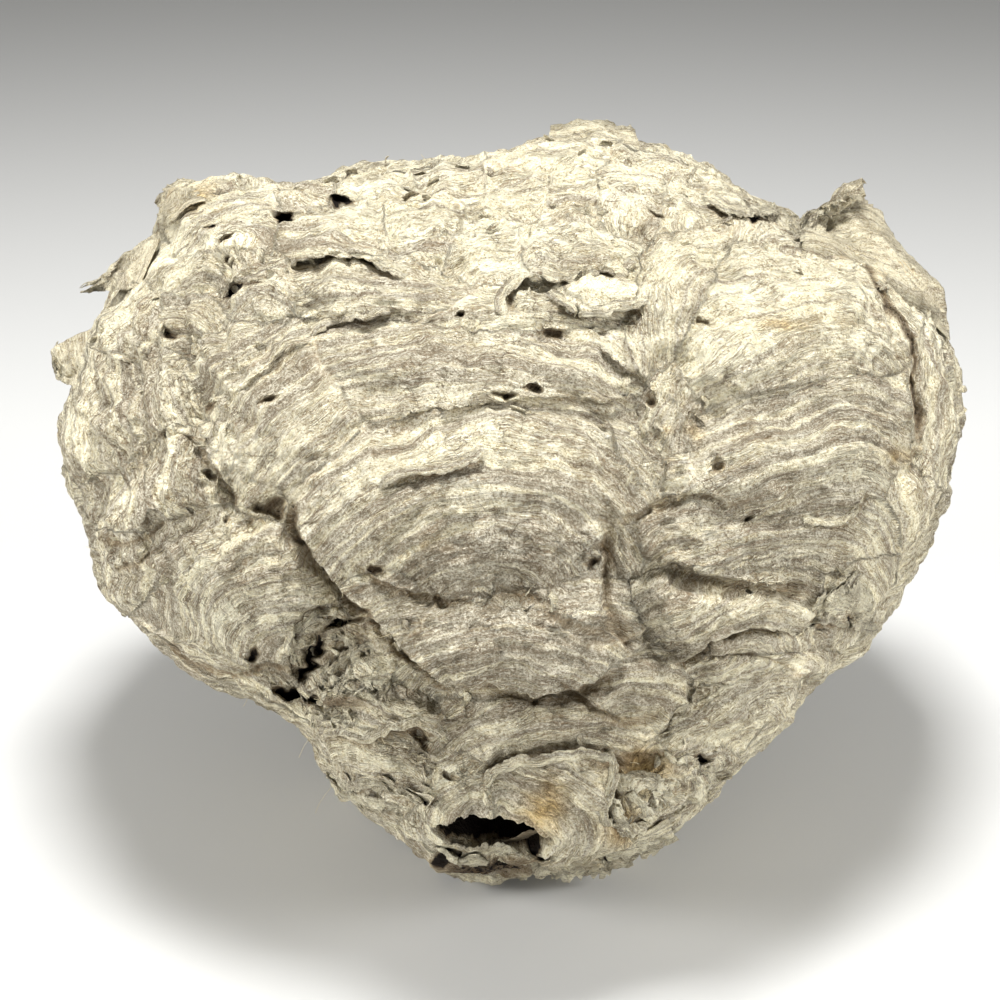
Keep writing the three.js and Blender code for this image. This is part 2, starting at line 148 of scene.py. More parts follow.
# Ledges: lift in mm, reach behind the edge, drop in mm, width of the drop, overhang, and the line,
# with the lifted side on the left of it as it runs. Reach, width and overhang are in grid steps.
LEDGES = {
    "panel_ridge": (1.6, 40, 1.2, 7, 1.5, [(372, 432), (392, 424), (420, 413), (460, 406),
                                           (505, 405), (540, 400), (612, 399), (652, 390)]),
    "panel_lip": (2.2, 30, 3.6, 6, 2, [(378, 486), (403, 472), (437, 469), (459, 465), (490, 454)]),
    "brow_lip_1": (4, 30, 6, 9, 3, [(290, 270), (303, 263), (330, 257), (360, 258), (385, 268),
                                    (406, 276)]),
    "brow_lip_4": (3, 30, 3.2, 7, 3, [(500, 312), (518, 280), (535, 271), (560, 279), (590, 274),
                                      (602, 270), (624, 278)]),
    "brow_lip_5": (3, 25, 3, 8, 3, [(548, 292), (566, 307), (582, 316), (610, 308), (650, 301)]),
    "wave_lip": (2.5, 30, 3.4, 5, 2, [(316, 338), (330, 325), (352, 320), (388, 313)]),
    "cheek_line": (2.5, 30, 0.6, 14, 1, [(236, 396), (262, 372), (290, 352), (320, 340)]),
    "fold_line": (3.5, 50, 2.4, 8, 2, [(350, 560), (372, 573), (388, 586), (437, 594), (462, 598),
                                      (482, 604)]),
    "fold_line_2": (1.5, 30, 1.6, 7, 1, [(478, 604), (505, 590), (530, 596), (570, 618), (605, 634),
                                      (628, 655)]),
    "chin_edge": (3, 40, 6, 12, 3, [(444, 680), (490, 686), (545, 693), (590, 686), (622, 668)]),
    "left_overhang": (7, 60, 8, 9, 4, [(284, 486), (294, 505), (303, 540), (322, 566), (342, 590),
                                        (365, 612), (391, 640), (425, 672), (462, 700)]),
    "right_fold": (2.5, 46, 5.5, 14, 1, [(628, 660), (606, 610), (600, 570), (602, 545), (601, 512)]),
    "arch_ridge": (1.8, 30, 1.6, 7, 1, [(604, 524), (640, 512), (660, 500), (697, 493), (720, 498),
                                     (731, 516)]),
    "belt_groove": (4, 46, 5, 22, 1, [(656, 580), (668, 565), (700, 576), (740, 581), (790, 586),
                                      (818, 580)]),
    "belly_ledge": (4.5, 40, 6, 7, 3, [(668, 664), (698, 652), (716, 637), (765, 629), (792, 634),
                                       (813, 624), (850, 626), (876, 630)]),
    "belt_diagonal": (2, 24, 4, 6, 1.5, [(858, 570), (850, 579), (838, 592), (820, 612), (796, 634)]),
    "jaw_fold": (1.5, 16, 2.5, 6, 1, [(700, 657), (725, 652), (762, 656), (800, 666), (822, 678)]),
    "lip_crack": (3, 30, 3, 6, 2, [(612, 754), (584, 749), (561, 751), (530, 758), (503, 762),
                                   (484, 780)]),
    "lip_side": (4, 34, 5, 9, 3, [(630, 840), (612, 824), (606, 800), (615, 785), (613, 767),
                                  (606, 750)]),
    "shelf_1": (3, 24, 3.5, 8, 3, [(318, 734), (345, 737), (372, 738), (392, 729), (420, 727),
                                   (442, 736)]),
    "shelf_2": (3, 24, 3, 8, 3, [(336, 784), (352, 792), (372, 788), (400, 795), (425, 803)]),
    "roof_lip": (3, 22, 4, 7, 2, [(706, 200), (722, 213), (745, 216), (768, 216), (780, 208)]),
    "neck_crease": (3, 40, 0.8, 10, 1, [(596, 350), (618, 358), (640, 372), (652, 394)]),
    "edge_crease": (3, 30, 5, 7, 2, [(925, 462), (912, 400), (911, 355), (898, 318), (882, 290),
                                     (858, 264), (820, 246)]),
    "belt_flap": (2.5, 26, 2, 8, 3, [(800, 520), (830, 525), (856, 510), (862, 486)]),
    "knob_fold": (2.5, 24, 3, 10, 2, [(556, 672), (585, 700), (600, 712), (640, 718), (668, 706)]),
    "swirl_fold_1": (3, 24, 2.4, 6, 2, [(150, 432), (176, 436), (200, 446), (222, 480), (246, 510)]),
    "swirl_fold_2": (3, 20, 3, 8, 2, [(104, 532), (128, 540), (150, 534), (176, 512)]),
    "swirl_fold_3": (3, 20, 3, 8, 2, [(110, 566), (134, 560), (156, 548)]),
    "socket_edge": (1.5, 20, 4.5, 6, 2, [(306, 690), (293, 676), (288, 650), (295, 625),
                                         (316, 609), (346, 612)]),
    "hem_fold": (2.5, 26, 3, 8, 2, [(158, 628), (190, 655), (226, 672), (262, 664), (300, 668)]),
}

# Soft dents of the face: x, y, half width, half height, turn in degrees, depth in mm.
DENTS = ((370, 388, 80, 16, -4, 2.5), (450, 425, 90, 10, 0, 1.5), (768, 415, 62, 20, 8, 3.5),
         (725, 584, 58, 12, 4, 3), (498, 700, 70, 14, 0, 4), (660, 400, 22, 60, 0, 3),
         (150, 360, 30, 50, 10, 2), (120, 470, 30, 60, 0, 2), (330, 300, 70, 8, -4, 1.5),
         (640, 620, 14, 40, 20, 3), (560, 520, 60, 16, -10, 1.5), (880, 420, 20, 60, 0, 2),
         (240, 560, 60, 20, -30, 1), (322, 650, 28, 34, 20, 3.5), (430, 520, 60, 14, -10, 1.2),
         (700, 255, 60, 14, -20, 1.5))

# Torn holes: x, y, half width, half height, turn in degrees, depth in mm. The depth also sets how dark the
# painted shade in each hole is.
HOLES = {
    "gap_right_of_ridge": (649, 396, 4, 9, -20, 5),
    "socket_slot": (311, 656, 8, 34, -24, 16),
    "socket_roof": (338, 622, 24, 5, 10, 10),
    "hem_gap": (298, 697, 30, 8, -12, 14),
    "socket_right": (358, 668, 9, 13, -20, 8),
    "hem_hole": (255, 658, 8, 5, 25, 7),
    "fold_pocket": (272, 508, 26, 10, -22, 5),
    "temple_slit": (231, 288, 15, 4, 42, 8),
    "temple_slit_2": (252, 278, 18, 2.5, 4, 6),
    "crown_hole": (203, 227, 9, 4, 0, 7),
    "crown_slit": (220, 238, 16, 2.5, 10, 4),
    "temple_hole": (225, 260, 5, 6, 0, 6),
    "cheek_hole": (168, 333, 8, 6, -50, 6),
    "panel_hole": (376, 573, 8, 6, 20, 6),
    "panel_prick": (378, 540, 4, 3, 0, 4),
    "ridge_tear_1": (505, 395, 18, 4, 8, 6),
    "ridge_tear_2": (534, 387, 12, 4, -5, 6),
    "middle_prick": (602, 455, 6, 3, -20, 6),
    "neck_hole": (714, 466, 6, 8, 10, 3.5),
    "band_slit": (552, 331, 15, 3.4, 0, 5),
    "band_prick": (460, 314, 5, 4, 0, 5),
    "brow_gap": (510, 296, 4, 10, 5, 4.5),
    "brow_gap_2": (578, 311, 7, 3, -20, 6),
    "notch": (283, 218, 12, 12, 0, 8),
    "brow_top_gap": (342, 201, 20, 7, -8, 9),
    "rib_slit": (702, 322, 13, 2.5, 10, 5),
    "crown_slit_2": (655, 218, 14, 3, -30, 5),
    "roof_pocket": (757, 219, 11, 7, 0, 8),
    "lip_hole": (421, 800, 6, 6, 0, 8),
    "foot_gap_1": (438, 862, 8, 11, 30, 9),
    "foot_gap_2": (531, 851, 18, 6, -25, 9),
    "foot_gap_3": (549, 872, 6, 9, 0, 9),
    "foot_gap_4": (604, 862, 8, 4, 0, 8),
    "foot_gap_5": (480, 868, 12, 3, 0, 7),
    "tail_slit": (681, 794, 11, 3, 0, 6),
    "tail_crack": (671, 727, 24, 2.5, 50, 5),
    "tail_gap": (698, 762, 7, 7, 0, 8),
    "torn_window": (640, 765, 30, 12, 0, 3),
    "low_crack": (424, 738, 18, 2.5, -45, 5),
    "low_crack_2": (449, 776, 9, 3, -30, 5),
    "belly_gap": (850, 622, 5, 10, 25, 8),
    "belly_gap_2": (810, 624, 10, 4, 25, 8),
    "neck_prick": (770, 436, 6, 4, 0, 4),
    "crack_middle": (592, 564, 10, 2, 30, 5),
    "arch_slit": (746, 514, 15, 2.2, 20, 5),
    "edge_prick": (902, 357, 6, 4, 0, 5),
    "rust_hole": (897, 457, 8, 3, 5, 4),
    "side_prick_1": (102, 372, 4, 6, 0, 5),
    "side_prick_2": (168, 437, 8, 3, 0, 6),
    "cheek_prick": (196, 438, 10, 3, -10, 5),
    "flank_slit": (210, 476, 12, 3, -20, 5),
    "shelf_prick": (226, 518, 6, 4, 30, 4),
    "bulge_slit": (240, 560, 8, 2.5, 30, 3),
    "cheek_tear": (268, 400, 12, 6, 10, 5),
    "flank_tear": (215, 402, 12, 3, 0, 5),
}
HOLE_SCALE = 0.8

# Scallops on the sides, back and crown: overlapping pouches like shingles. SCALLOP_HALF and the
# scar's half width are shares of the ball's reach, and rises are in mm. The scar is where the nest
# hung.
SCALLOPS = 96
SCALLOP_HALF = 0.205
SCALLOP_RISE = 9
SCALLOP_INSET = 5
SCALLOP_SQUASH = 1.35
GOLDEN_ANGLE = math.pi * (3 - math.sqrt(5))
SCAR_DIRECTION = np.array((0.12, 0.8, -0.55)) / np.linalg.norm((0.12, 0.8, -0.55))
SCAR_HALF = 0.2
SCAR_RISE = 6

# The way in: a flattened round hole that runs level into the nest. Only the paper within "lip" mm
# behind its mouth is pushed in, and not the nest's back.
ENTRANCE = {"x": 495, "y": 836, "half_width": 16.0, "half_height": 10.5, "depth": 33, "lip": 25}


def smooth(low, high, value):
    """0 below low, 1 above high, and an easy slope between."""
    share = np.clip((value - low) / (high - low), 0, 1)
    return share * share * (3 - 2 * share)


def mottle(points, wavelength, seed):
    """Smooth noise between about -1 and 1, of one size of blotch."""
    scaled = np.asarray(points) / wavelength
    corner = np.floor(scaled).astype(np.int64)
    share = scaled - corner
    share = share * share * share * (share * (6 * share - 15) + 10)
    total = np.zeros(len(scaled))
    for step in range(8):
        offset = np.array([(step >> axis) & 1 for axis in range(3)])
        key = (corner + offset) @ np.array((73856093, 19349663, 83492791)) + seed * 2654435761
        key = (key ^ (key >> 13)) * 1274126177 & 0xFFFFFFFF
        key = (key ^ (key >> 16)) * 668265263 & 0xFFFFFFFF
        value = ((key ^ (key >> 15)) & 0xFFFF) / 32767.5 - 1
        total += value * np.prod(np.where(offset, share, 1 - share), axis=1)
    return total * 1.4


def flat(x, y, layer=0.0):
    """Grid places as points for mottle."""
    return np.stack([x, y, np.full(np.shape(x), layer)], axis=-1)


def place(x, y, depth):
    """The points in mm seen at x, y on the grid, at a depth in front of its plane."""
    scale = GRID_STEP * (1 - depth / VIEW_DISTANCE)
    across = ((x - GRID_MIDDLE) * scale)[..., None] * RIGHT
    along = ((GRID_MIDDLE - y) * scale)[..., None] * UP
    return across + along + np.asarray(depth)[..., None] * OUT - ORIGIN


polar = np.arctan2(CENTRE[1] - OUTLINE[:, 1], OUTLINE[:, 0] - CENTRE[0]) % (2 * math.pi)
around = np.argsort(polar)
rim_angle = np.concatenate([polar[around] + turn for turn in (-2 * math.pi, 0, 2 * math.pi)])
rim_reach = np.tile(np.hypot(*(OUTLINE - CENTRE).T)[around], 3)
rim_slope = np.gradient(rim_reach, rim_angle)


def rim(angle):
    """Distance from CENTRE to the widest outline, in grid steps, by a smooth closed curve."""
    angle = np.mod(angle, 2 * math.pi)
    i = np.clip(np.searchsorted(rim_angle, angle) - 1, 0, len(rim_angle) - 2)
    span = rim_angle[i + 1] - rim_angle[i]
    t = (angle - rim_angle[i]) / span
    return ((2 * t**3 - 3 * t**2 + 1) * rim_reach[i] + (t**3 - 2 * t**2 + t) * span * rim_slope[i]
            + (3 * t**2 - 2 * t**3) * rim_reach[i + 1] + (t**3 - t**2) * span * rim_slope[i + 1])


def lean(y):
    """How far the plain ball leans forward at y, in mm."""
    return -math.tan(LEAN) * (GRID_MIDDLE - y) * GRID_STEP


def smooth_depth(x, y):
    """Depth of the plain ball at x, y, and of its outline outside that."""
    dx, dy = x - CENTRE[0], CENTRE[1] - y
    share = np.minimum(np.hypot(dx, dy) / rim(np.arctan2(dy, dx)), 1)
    return FRONT_DEPTH * (1 - share**BLUNTNESS) ** (1 / BLUNTNESS) + lean(y)


def ragged(x, y):
    """Grid places pushed about a little, so that no crease or edge runs smooth."""
    here = flat(x, y)
    return (x + 2.5 * mottle(here, 42, 1) + 2.2 * mottle(here, 14, 2) + mottle(here, 6, 3),
            y + 2.5 * mottle(here, 42, 4) + 2.0 * mottle(here, 14, 5) + mottle(here, 6, 6))


def curve_through(points, spacing):
    """A smooth line through given points, stepped evenly."""
    points = np.array(points, float)
    ends = np.concatenate([[2 * points[0] - points[1]], points, [2 * points[-1] - points[-2]]])
    pieces = []
    for a, b, c, d in zip(ends, ends[1:], ends[2:], ends[3:]):
        count = max(2, int(np.hypot(*(c - b)[:2]) / spacing))
        t = np.arange(count)[:, None] / count
        pieces.append(0.5 * (2 * b + (c - a) * t + (2 * a - 5 * b + 4 * c - d) * t**2
                             + (3 * b - a - 3 * c + d) * t**3))
    return np.concatenate(pieces + [points[-1:]])


def oval(x, y, middle_x, middle_y, half_width, half_height, turn):
    """How far along and up a turned oval each grid place is, in shares of its half sizes."""
    c, s = math.cos(math.radians(turn)), math.sin(math.radians(turn))
    dx, dy = x - middle_x, middle_y - y
    return (dx * c + dy * s) / half_width, (dy * c - dx * s) / half_height


def face_swelling(x, y):
    """Rise of the swellings, which of them is on top, and how near the crease beside it is."""
    total = np.full(x.shape, math.exp(-VALLEY / CREASE_SOFTNESS))
    best = np.full(x.shape, -99.0)
    second = np.full(x.shape, -99.0)
    top = np.zeros(x.shape, int)
    for i, (*shape, rise, _, _) in enumerate(SWELLINGS.values()):
        away = np.hypot(*oval(x, y, *shape))
        height = rise * (1 - np.minimum(away, 3) ** 2.2)
        total += np.exp(height / CREASE_SOFTNESS)
        beaten = height > best
        second = np.where(beaten, best, np.maximum(second, height))
        best = np.where(beaten, height, best)
        top = np.where(beaten, i, top)
    return CREASE_SOFTNESS * np.log(total), top, best - second


def face_dents(x, y):
    """Fall of the soft dents."""
    fall = np.zeros(x.shape)
    for *shape, depth in DENTS:
        along_it, up_it = oval(x, y, *shape)
        fall += depth * np.exp(-(along_it**2 + up_it**2))
    return fall


def face_ledges(x, y):
    """Rise of the ledges, the sideways shift that makes them overhang, and the shade under them."""
    rise, shade = np.zeros(x.shape), np.zeros(x.shape)
    shift = np.zeros(x.shape + (2,))
    for lift, reach, drop, width, hang, line in LEDGES.values():
        route = curve_through(line, 8)
        margin = 1.6 * reach
        near = ((x > route[:, 0].min() - margin) & (x < route[:, 0].max() + margin)
                & (y > route[:, 1].min() - margin) & (y < route[:, 1].max() + margin))
        nx, ny = x[near], y[near]
        lengths = np.hypot(*np.diff(route, axis=0).T)
        before = np.concatenate([[0], np.cumsum(lengths)])
        distance = np.full(nx.shape, 1e9)
        left, share = np.zeros(nx.shape), np.zeros(nx.shape)
        normal = np.zeros(nx.shape + (2,))
        for start, end, length, passed in zip(route, route[1:], lengths, before):
            ex, ey = (end - start) / length
            along = np.clip((nx - start[0]) * ex + (ny - start[1]) * ey, 0, length)
            qx, qy = nx - start[0] - along * ex, ny - start[1] - along * ey
            away = np.hypot(qx, qy)
            nearer = away < distance
            distance = np.where(nearer, away, distance)
            left = np.where(nearer, qx * ey - qy * ex, left)
            share = np.where(nearer, (passed + along) / before[-1], share)
            normal[nearer] = (ey, -ex)
        ends = smooth(0, 0.16, np.minimum(share, 1 - share))
        up_side = smooth(-0.7, 0.7, left)
        raised = lift * np.exp(-1.5 * distance / reach)
        sunk = -drop * np.exp(-((distance / (0.75 * width)) ** 2))
        rise[near] += ends * (up_side * raised + (1 - up_side) * sunk)
        pull = hang * np.exp(-((distance / (2.5 * hang)) ** 2)) * ends
        shift[near] += (pull * np.where(left > 0, -1, 0.6))[..., None] * normal
        under = ends * (1 - up_side) * np.exp(-((distance / (0.75 * width)) ** 3))
        under *= min(1, drop / 4) * min(1, 8 / width)
        shade[near] = np.maximum(shade[near], under)
    return rise, shift, shade


def face_holes(x, y):
    """Fall of the ripped holes, and how far inside one each point is, which later sets their painted shade.
    """
    fall, inside = np.zeros(x.shape), np.zeros(x.shape)
    here = flat(x, y)
    x, y = x + 3.4 * mottle(here, 7, 7), y + 2.4 * mottle(here, 7, 8)
    for *shape, depth in HOLES.values():
        away = np.hypot(*oval(x, y, *shape)) / HOLE_SCALE
        hole = 1 - smooth(0.62, 1.08, away)
        fall = np.maximum(fall, depth * hole)
        inside = np.maximum(inside, hole * min(1, depth / 8))
    return fall, inside


def face_depth(x, y):
    """Depth of the finished face at x, y."""
    rx, ry = ragged(x, y)
    rise = face_swelling(rx, ry)[0] + face_ledges(rx, ry)[0] - face_dents(rx, ry)
    return smooth_depth(x, y) + np.maximum(rise, -VALLEY) - face_holes(rx, ry)[0]


# Middles of the scallops, spread over a sphere along a spiral and pushed a little off it.
turns = np.arange(SCALLOPS)
heights = 1 - (2 * turns + 1) / SCALLOPS
widths = np.sqrt(1 - heights**2)
spiral = np.stack([widths * np.cos(turns * GOLDEN_ANGLE), heights,
                   widths * np.sin(turns * GOLDEN_ANGLE)], axis=-1)
chance = np.random.default_rng(11)
scallop_middles = spiral + chance.normal(0, 0.06, spiral.shape)
scallop_middles /= np.linalg.norm(scallop_middles, axis=1)[:, None]


def scallop_swelling(direction):
    """Rise of the scallops, which of them is on top, and how near the crease beside it is."""
    best = np.full(len(direction), -99.0)
    second = np.full(len(direction), -99.0)
    top = np.zeros(len(direction), int)
    pushed = direction + 0.03 * np.stack([mottle(direction, 0.3, seed) for seed in (21, 22, 23)], 1)
    pushed += 0.012 * np.stack([mottle(direction, 0.09, seed) for seed in (24, 25, 26)], 1)
    for i, middle in enumerate(scallop_middles):
        across = pushed - middle
        across[:, [0, 2]] /= SCALLOP_SQUASH
        away = np.linalg.norm(across, axis=1) / SCALLOP_HALF
        hang = 1 - 0.45 * smooth(-SCALLOP_HALF, SCALLOP_HALF, across[:, 1])
        height = SCALLOP_RISE * (hang - np.minimum(away, 4) ** 2.1)
        beaten = height > best
        second = np.where(beaten, best, np.maximum(second, height))
        best = np.where(beaten, height, best)
        top = np.where(beaten, i, top)
    scar = np.linalg.norm(direction - SCAR_DIRECTION, axis=1) / SCAR_HALF
    rise = np.maximum(best, -0.4 * SCALLOP_RISE) - SCALLOP_INSET
    return rise + SCAR_RISE * np.exp(-(scar**4)), top, best - second


# The ball starts as a cube cut into squares, rounded out, with the squares drawn in to the face.
QUARTERINGS = 4
FRONT_CROWDING = 0.36
bpy.ops.object.select_all(action="DESELECT")
bpy.ops.mesh.primitive_cube_add(size=2, location=(0, 0, 0))
ball = bpy.context.object
bpy.ops.object.mode_set(mode="EDIT")
bpy.ops.mesh.select_all(action="SELECT")
for _ in range(QUARTERINGS):
    bpy.ops.mesh.subdivide(number_cuts=3)
bpy.ops.object.mode_set(mode="OBJECT")

cube = np.empty(3 * len(ball.data.vertices))
ball.data.vertices.foreach_get("co", cube)
cube = cube.reshape(-1, 3)
direction = np.tan(cube * math.pi / 4)
direction /= np.linalg.norm(direction, axis=1)[:, None]
from_out = np.arccos(np.clip(direction[:, 2], -1, 1))
drawn_in = from_out - FRONT_CROWDING * np.sin(from_out)
sideways = np.maximum(np.hypot(direction[:, 0], direction[:, 1]), 1e-9)
direction[:, :2] *= (np.sin(drawn_in) / sideways)[:, None]
direction[:, 2] = np.cos(drawn_in)


def ball_point(direction):
    """Grid place and depth of the plain ball in a direction whose parts are right, up and out."""
    angle = np.arctan2(direction[:, 1], direction[:, 0])
    reach = rim(angle) * np.hypot(direction[:, 0], direction[:, 1]) ** (2 / BLUNTNESS)
    x, y = CENTRE[0] + reach * np.cos(angle), CENTRE[1] - reach * np.sin(angle)
    side = np.where(direction[:, 2] > 0, FRONT_DEPTH, -BACK_DEPTH)
    return x, y, side * np.abs(direction[:, 2]) ** (2 / BLUNTNESS) + lean(y)


# How far round the ball the face's own form reaches, as the outward part of a direction.
FACE_FADES = (0.1, 0.36)
FACE_ENDS = 0.05
SCALLOPS_START = 0.4
grid_x, grid_y, depth = ball_point(direction)
facing = smooth(*FACE_FADES, direction[:, 2])
front = direction[:, 2] > FACE_ENDS
fx, fy = ragged(grid_x[front], grid_y[front])
swell, face_top, face_gap = face_swelling(fx, fy)
swell -= face_dents(fx, fy)
ledge, shift, ledge_shade = face_ledges(fx, fy)
fall, inside = face_holes(fx, fy)
face_share = facing[front]
depth[front] += face_share * (np.maximum(swell + ledge, -VALLEY) - fall)
grid_x[front] += face_share * shift[:, 0]
grid_y[front] += face_share * shift[:, 1]
points = place(grid_x, grid_y, depth)

rest = direction[:, 2] < SCALLOPS_START
pouch, pouch_top, pouch_gap = scallop_swelling(direction[rest])
middle = place(np.array(CENTRE[0]), np.array(CENTRE[1]), np.array(0.0))
outward = points[rest] - middle
outward /= np.linalg.norm(outward, axis=1)[:, None]
edge_on = 0.35 + 0.65 * smooth(0.0, 0.3, -direction[rest][:, 2])
points[rest] += outward * ((1 - facing[rest]) * edge_on * pouch)[:, None]

# The growth arcs: how far each point is along its arc and out from the arc's middle, in mm. Each
# swelling's arcs are numbered well apart from the next one's, so that no two share their streaks.
# They wave by these wavelengths and amounts in mm.
WAVINESS = ((30, 1.8), (9, 0.45), (3.5, 0.15))
APART_ALONG = 53.0
APART_ACROSS = 31.7
FIRST_SCALLOP_LABEL = 80
ARC_DROP = 22.0
along, across = np.zeros(len(points)), np.zeros(len(points))


def measure_arcs(chosen, arc_middle, right, up, radius, label):
    """Fills in along and across for the chosen points, from the middle of their arcs."""
    away = points[chosen] - arc_middle
    along[chosen] = np.arctan2(away @ right, away @ up) * radius + APART_ALONG * label
    across[chosen] = np.linalg.norm(away, axis=1) + APART_ACROSS * label


front_index = np.flatnonzero(front & (facing > 0.5))
top_there = np.full(len(points), -1)
top_there[front] = face_top
for i, (cx, cy, _, _, _, _, ax, ay) in enumerate(SWELLINGS.values()):
    chosen = front_index[top_there[front_index] == i]
    level = smooth_depth(np.array(float(cx)), np.array(float(cy)))
    arc_middle = place(np.array(cx + ax), np.array(cy + ay), level)
    measure_arcs(chosen, arc_middle, RIGHT, UP, GRID_STEP * math.hypot(ax, ay), i)

rest_index = np.flatnonzero(rest)
pouch_there = np.full(len(points), -1)
pouch_there[rest] = pouch_top
to_world = np.stack([RIGHT, UP, OUT])
scallop_x, scallop_y, scallop_depth = ball_point(scallop_middles)
scallop_places = place(scallop_x, scallop_y, scallop_depth)
for i, middle_direction in enumerate(scallop_middles):
    chosen = rest_index[(pouch_there[rest_index] == i) & (facing[rest_index] <= 0.5)]
    normal = middle_direction @ to_world
    up = np.array((0.0, 0.0, 1.0)) - normal[2] * normal
    up /= max(np.linalg.norm(up), 1e-6)
    arc_middle = scallop_places[i] - ARC_DROP * up
    measure_arcs(chosen, arc_middle, np.cross(up, normal), up, ARC_DROP, i + FIRST_SCALLOP_LABEL)
for wavelength, amount in WAVINESS:
    across += amount * mottle(points, wavelength, 31)

# The entrance is pushed in level with the surface that the nest rests on.
mouth_depth = smooth_depth(np.array(float(ENTRANCE["x"])), np.array(float(ENTRANCE["y"])))
mouth = place(np.array(ENTRANCE["x"]), np.array(ENTRANCE["y"]), mouth_depth)
beside = (points[:, 0] - mouth[0]) / ENTRANCE["half_width"]
above = (points[:, 2] - mouth[2]) / ENTRANCE["half_height"]
from_mouth = np.hypot(beside, above) + 0.05 * mottle(points, 6, 41) + 0.03 * mottle(points, 2.2, 42)
pushed_in = (1 - smooth(0.74, 0.98, from_mouth)) * (points[:, 1] < mouth[1] + ENTRANCE["lip"])
points[:, 1] += ENTRANCE["depth"] * pushed_in


def set_points(mesh, places):
    """Moves a mesh's points to places in mm."""
    mesh.vertices.foreach_set("co", (places * MM).ravel())
    mesh.update()


def point_normals(mesh):
    """The way out from a mesh at each point."""
    normals = np.empty(3 * len(mesh.vertices))
    mesh.vertex_normals.foreach_get("vector", normals)
    return normals.reshape(-1, 3)


# Fine relief. Ridges follow the arcs: stretch along them, wavelength and height in mm. Crumples
# and folds don't: wavelength and height in mm. Each strip of paper ends in a small step.
RIDGES = ((3.4, 8.0, 0.45), (3.0, 3.6, 0.35), (2.4, 1.9, 0.35))
CRUMPLES = ((22.0, 1.0), (9.0, 0.35))
FOLDS = ((13.0, 0.8), (6.5, -0.45), (3.2, 0.3))
STRIP = 6.5
STRIP_STEP = 0.3

# Crushed places: x, y, half width, half height in grid steps and how crushed. Their pleats have a
# height and a wavelength in mm and a way across. The left flank is crushed too, and that fades out
# inwards, at its top and at its foot.
CRUSHED = ((660, 445, 46, 60, 0.7), (350, 660, 60, 50, 0.7), (400, 770, 60, 40, 0.5),
           (655, 790, 40, 44, 0.8), (230, 300, 60, 40, 0.5), (560, 280, 60, 40, 0.4),
           (690, 700, 50, 50, 0.4))
PLEATS = ((1.9, 21, (0.94, 0.2, 0.28)), (1.3, 13, (0.6, 0.2, -0.77)), (0.8, 8, (0.9, 0.1, 0.42)),
          (0.5, 5, (0.25, 0.1, 0.96)))
FLANK_INWARDS = (290, 190)
FLANK_TOP = (280, 330)
FLANK_FOOT = (640, 560)


def ridge(stretch, wavelength, seed):
    """Sharp-crested folds that run along the arcs."""
    banded = np.stack([along / stretch, across, np.full(len(points), 3.0 * seed)], axis=-1)
    return mottle(banded, wavelength, seed) - np.abs(mottle(banded, wavelength, seed + 7))


def fold(wavelength, seed):
    """Sharp-crested folds that run anywhere, like crushed paper."""
    return 1 - 2 * np.abs(mottle(points, wavelength, seed))


def patch(middle_x, middle_y, half_width, half_height, power=2):
    """1 in the middle of an oval patch of the grid, fading away outside it."""
    away = (((grid_x - middle_x) / half_width) ** power
            + ((grid_y - middle_y) / half_height) ** power)
    return np.exp(-away)


gap = np.full(len(points), 9.0)
gap[front] = face_gap
gap[rest_index] = np.where(facing[rest_index] > 0.5, gap[rest_index], pouch_gap)
away_from_crease = smooth(0, 1.6, gap)
set_points(ball.data, points)
normals = point_normals(ball.data)
relief = np.zeros(len(points))
for seed, (stretch, wavelength, height) in enumerate(RIDGES):
    relief += height * ridge(stretch, wavelength, 50 + seed) * away_from_crease
for seed, (wavelength, height) in enumerate(CRUMPLES):
    relief += height * mottle(points, wavelength, 60 + seed)
for seed, (wavelength, height) in enumerate(FOLDS):
    relief += height * fold(wavelength, 65 + seed)
step_share = 0.5 + 0.5 * mottle(points, 14, 69)
relief -= STRIP_STEP * step_share * away_from_crease * np.mod(across, STRIP) / STRIP
crushed = (smooth(*FLANK_INWARDS, grid_x) * smooth(*FLANK_TOP, grid_y)
           * smooth(*FLANK_FOOT, grid_y))
for *shape, share in CRUSHED:
    crushed = np.maximum(crushed, share * patch(*shape))
crushed *= facing
for seed, (height, wavelength, way) in enumerate(PLEATS):
    place_along = points @ np.array(way) / wavelength + 0.9 * mottle(points, 2.2 * wavelength, 71 + seed)
    relief += crushed * height * (4 * np.abs(np.mod(place_along, 1) - 0.5) - 1)
calm = np.zeros(len(points))
calm[front] = np.maximum(np.minimum(1.6 * ledge_shade, 1), inside) * face_share
relief *= (1 - 0.8 * np.maximum(calm, pushed_in))
points += normals * relief[:, None]

# Where the squares are drawn out over a step, the wrinkles would turn into teeth and are eased.
DRAWN_OUT = (1.5, 3.0)
EASINGS = 10
pairs = np.empty(2 * len(ball.data.edges), np.int32)
ball.data.edges.foreach_get("vertices", pairs)
pairs = pairs.reshape(-1, 2)
lengths = np.linalg.norm(points[pairs[:, 0]] - points[pairs[:, 1]], axis=1)
longest = np.zeros(len(points))
np.maximum.at(longest, pairs[:, 0], lengths)
np.maximum.at(longest, pairs[:, 1], lengths)
neighbours = np.bincount(pairs.ravel(), minlength=len(points))
drawn_out = smooth(*DRAWN_OUT, longest / np.median(lengths))
for _ in range(EASINGS):
    near = np.zeros_like(points)
    for axis in range(3):
        near[:, axis] = (np.bincount(pairs[:, 0], points[pairs[:, 1], axis], len(points))
                         + np.bincount(pairs[:, 1], points[pairs[:, 0], axis], len(points)))
    points += (0.5 * drawn_out)[:, None] * (near / neighbours[:, None] - points)
points[:, 2] = np.maximum(points[:, 2], 0)
set_points(ball.data, points)
normals = point_normals(ball.data)
ball.data.polygons.foreach_set("use_smooth", np.ones(len(ball.data.polygons), bool))
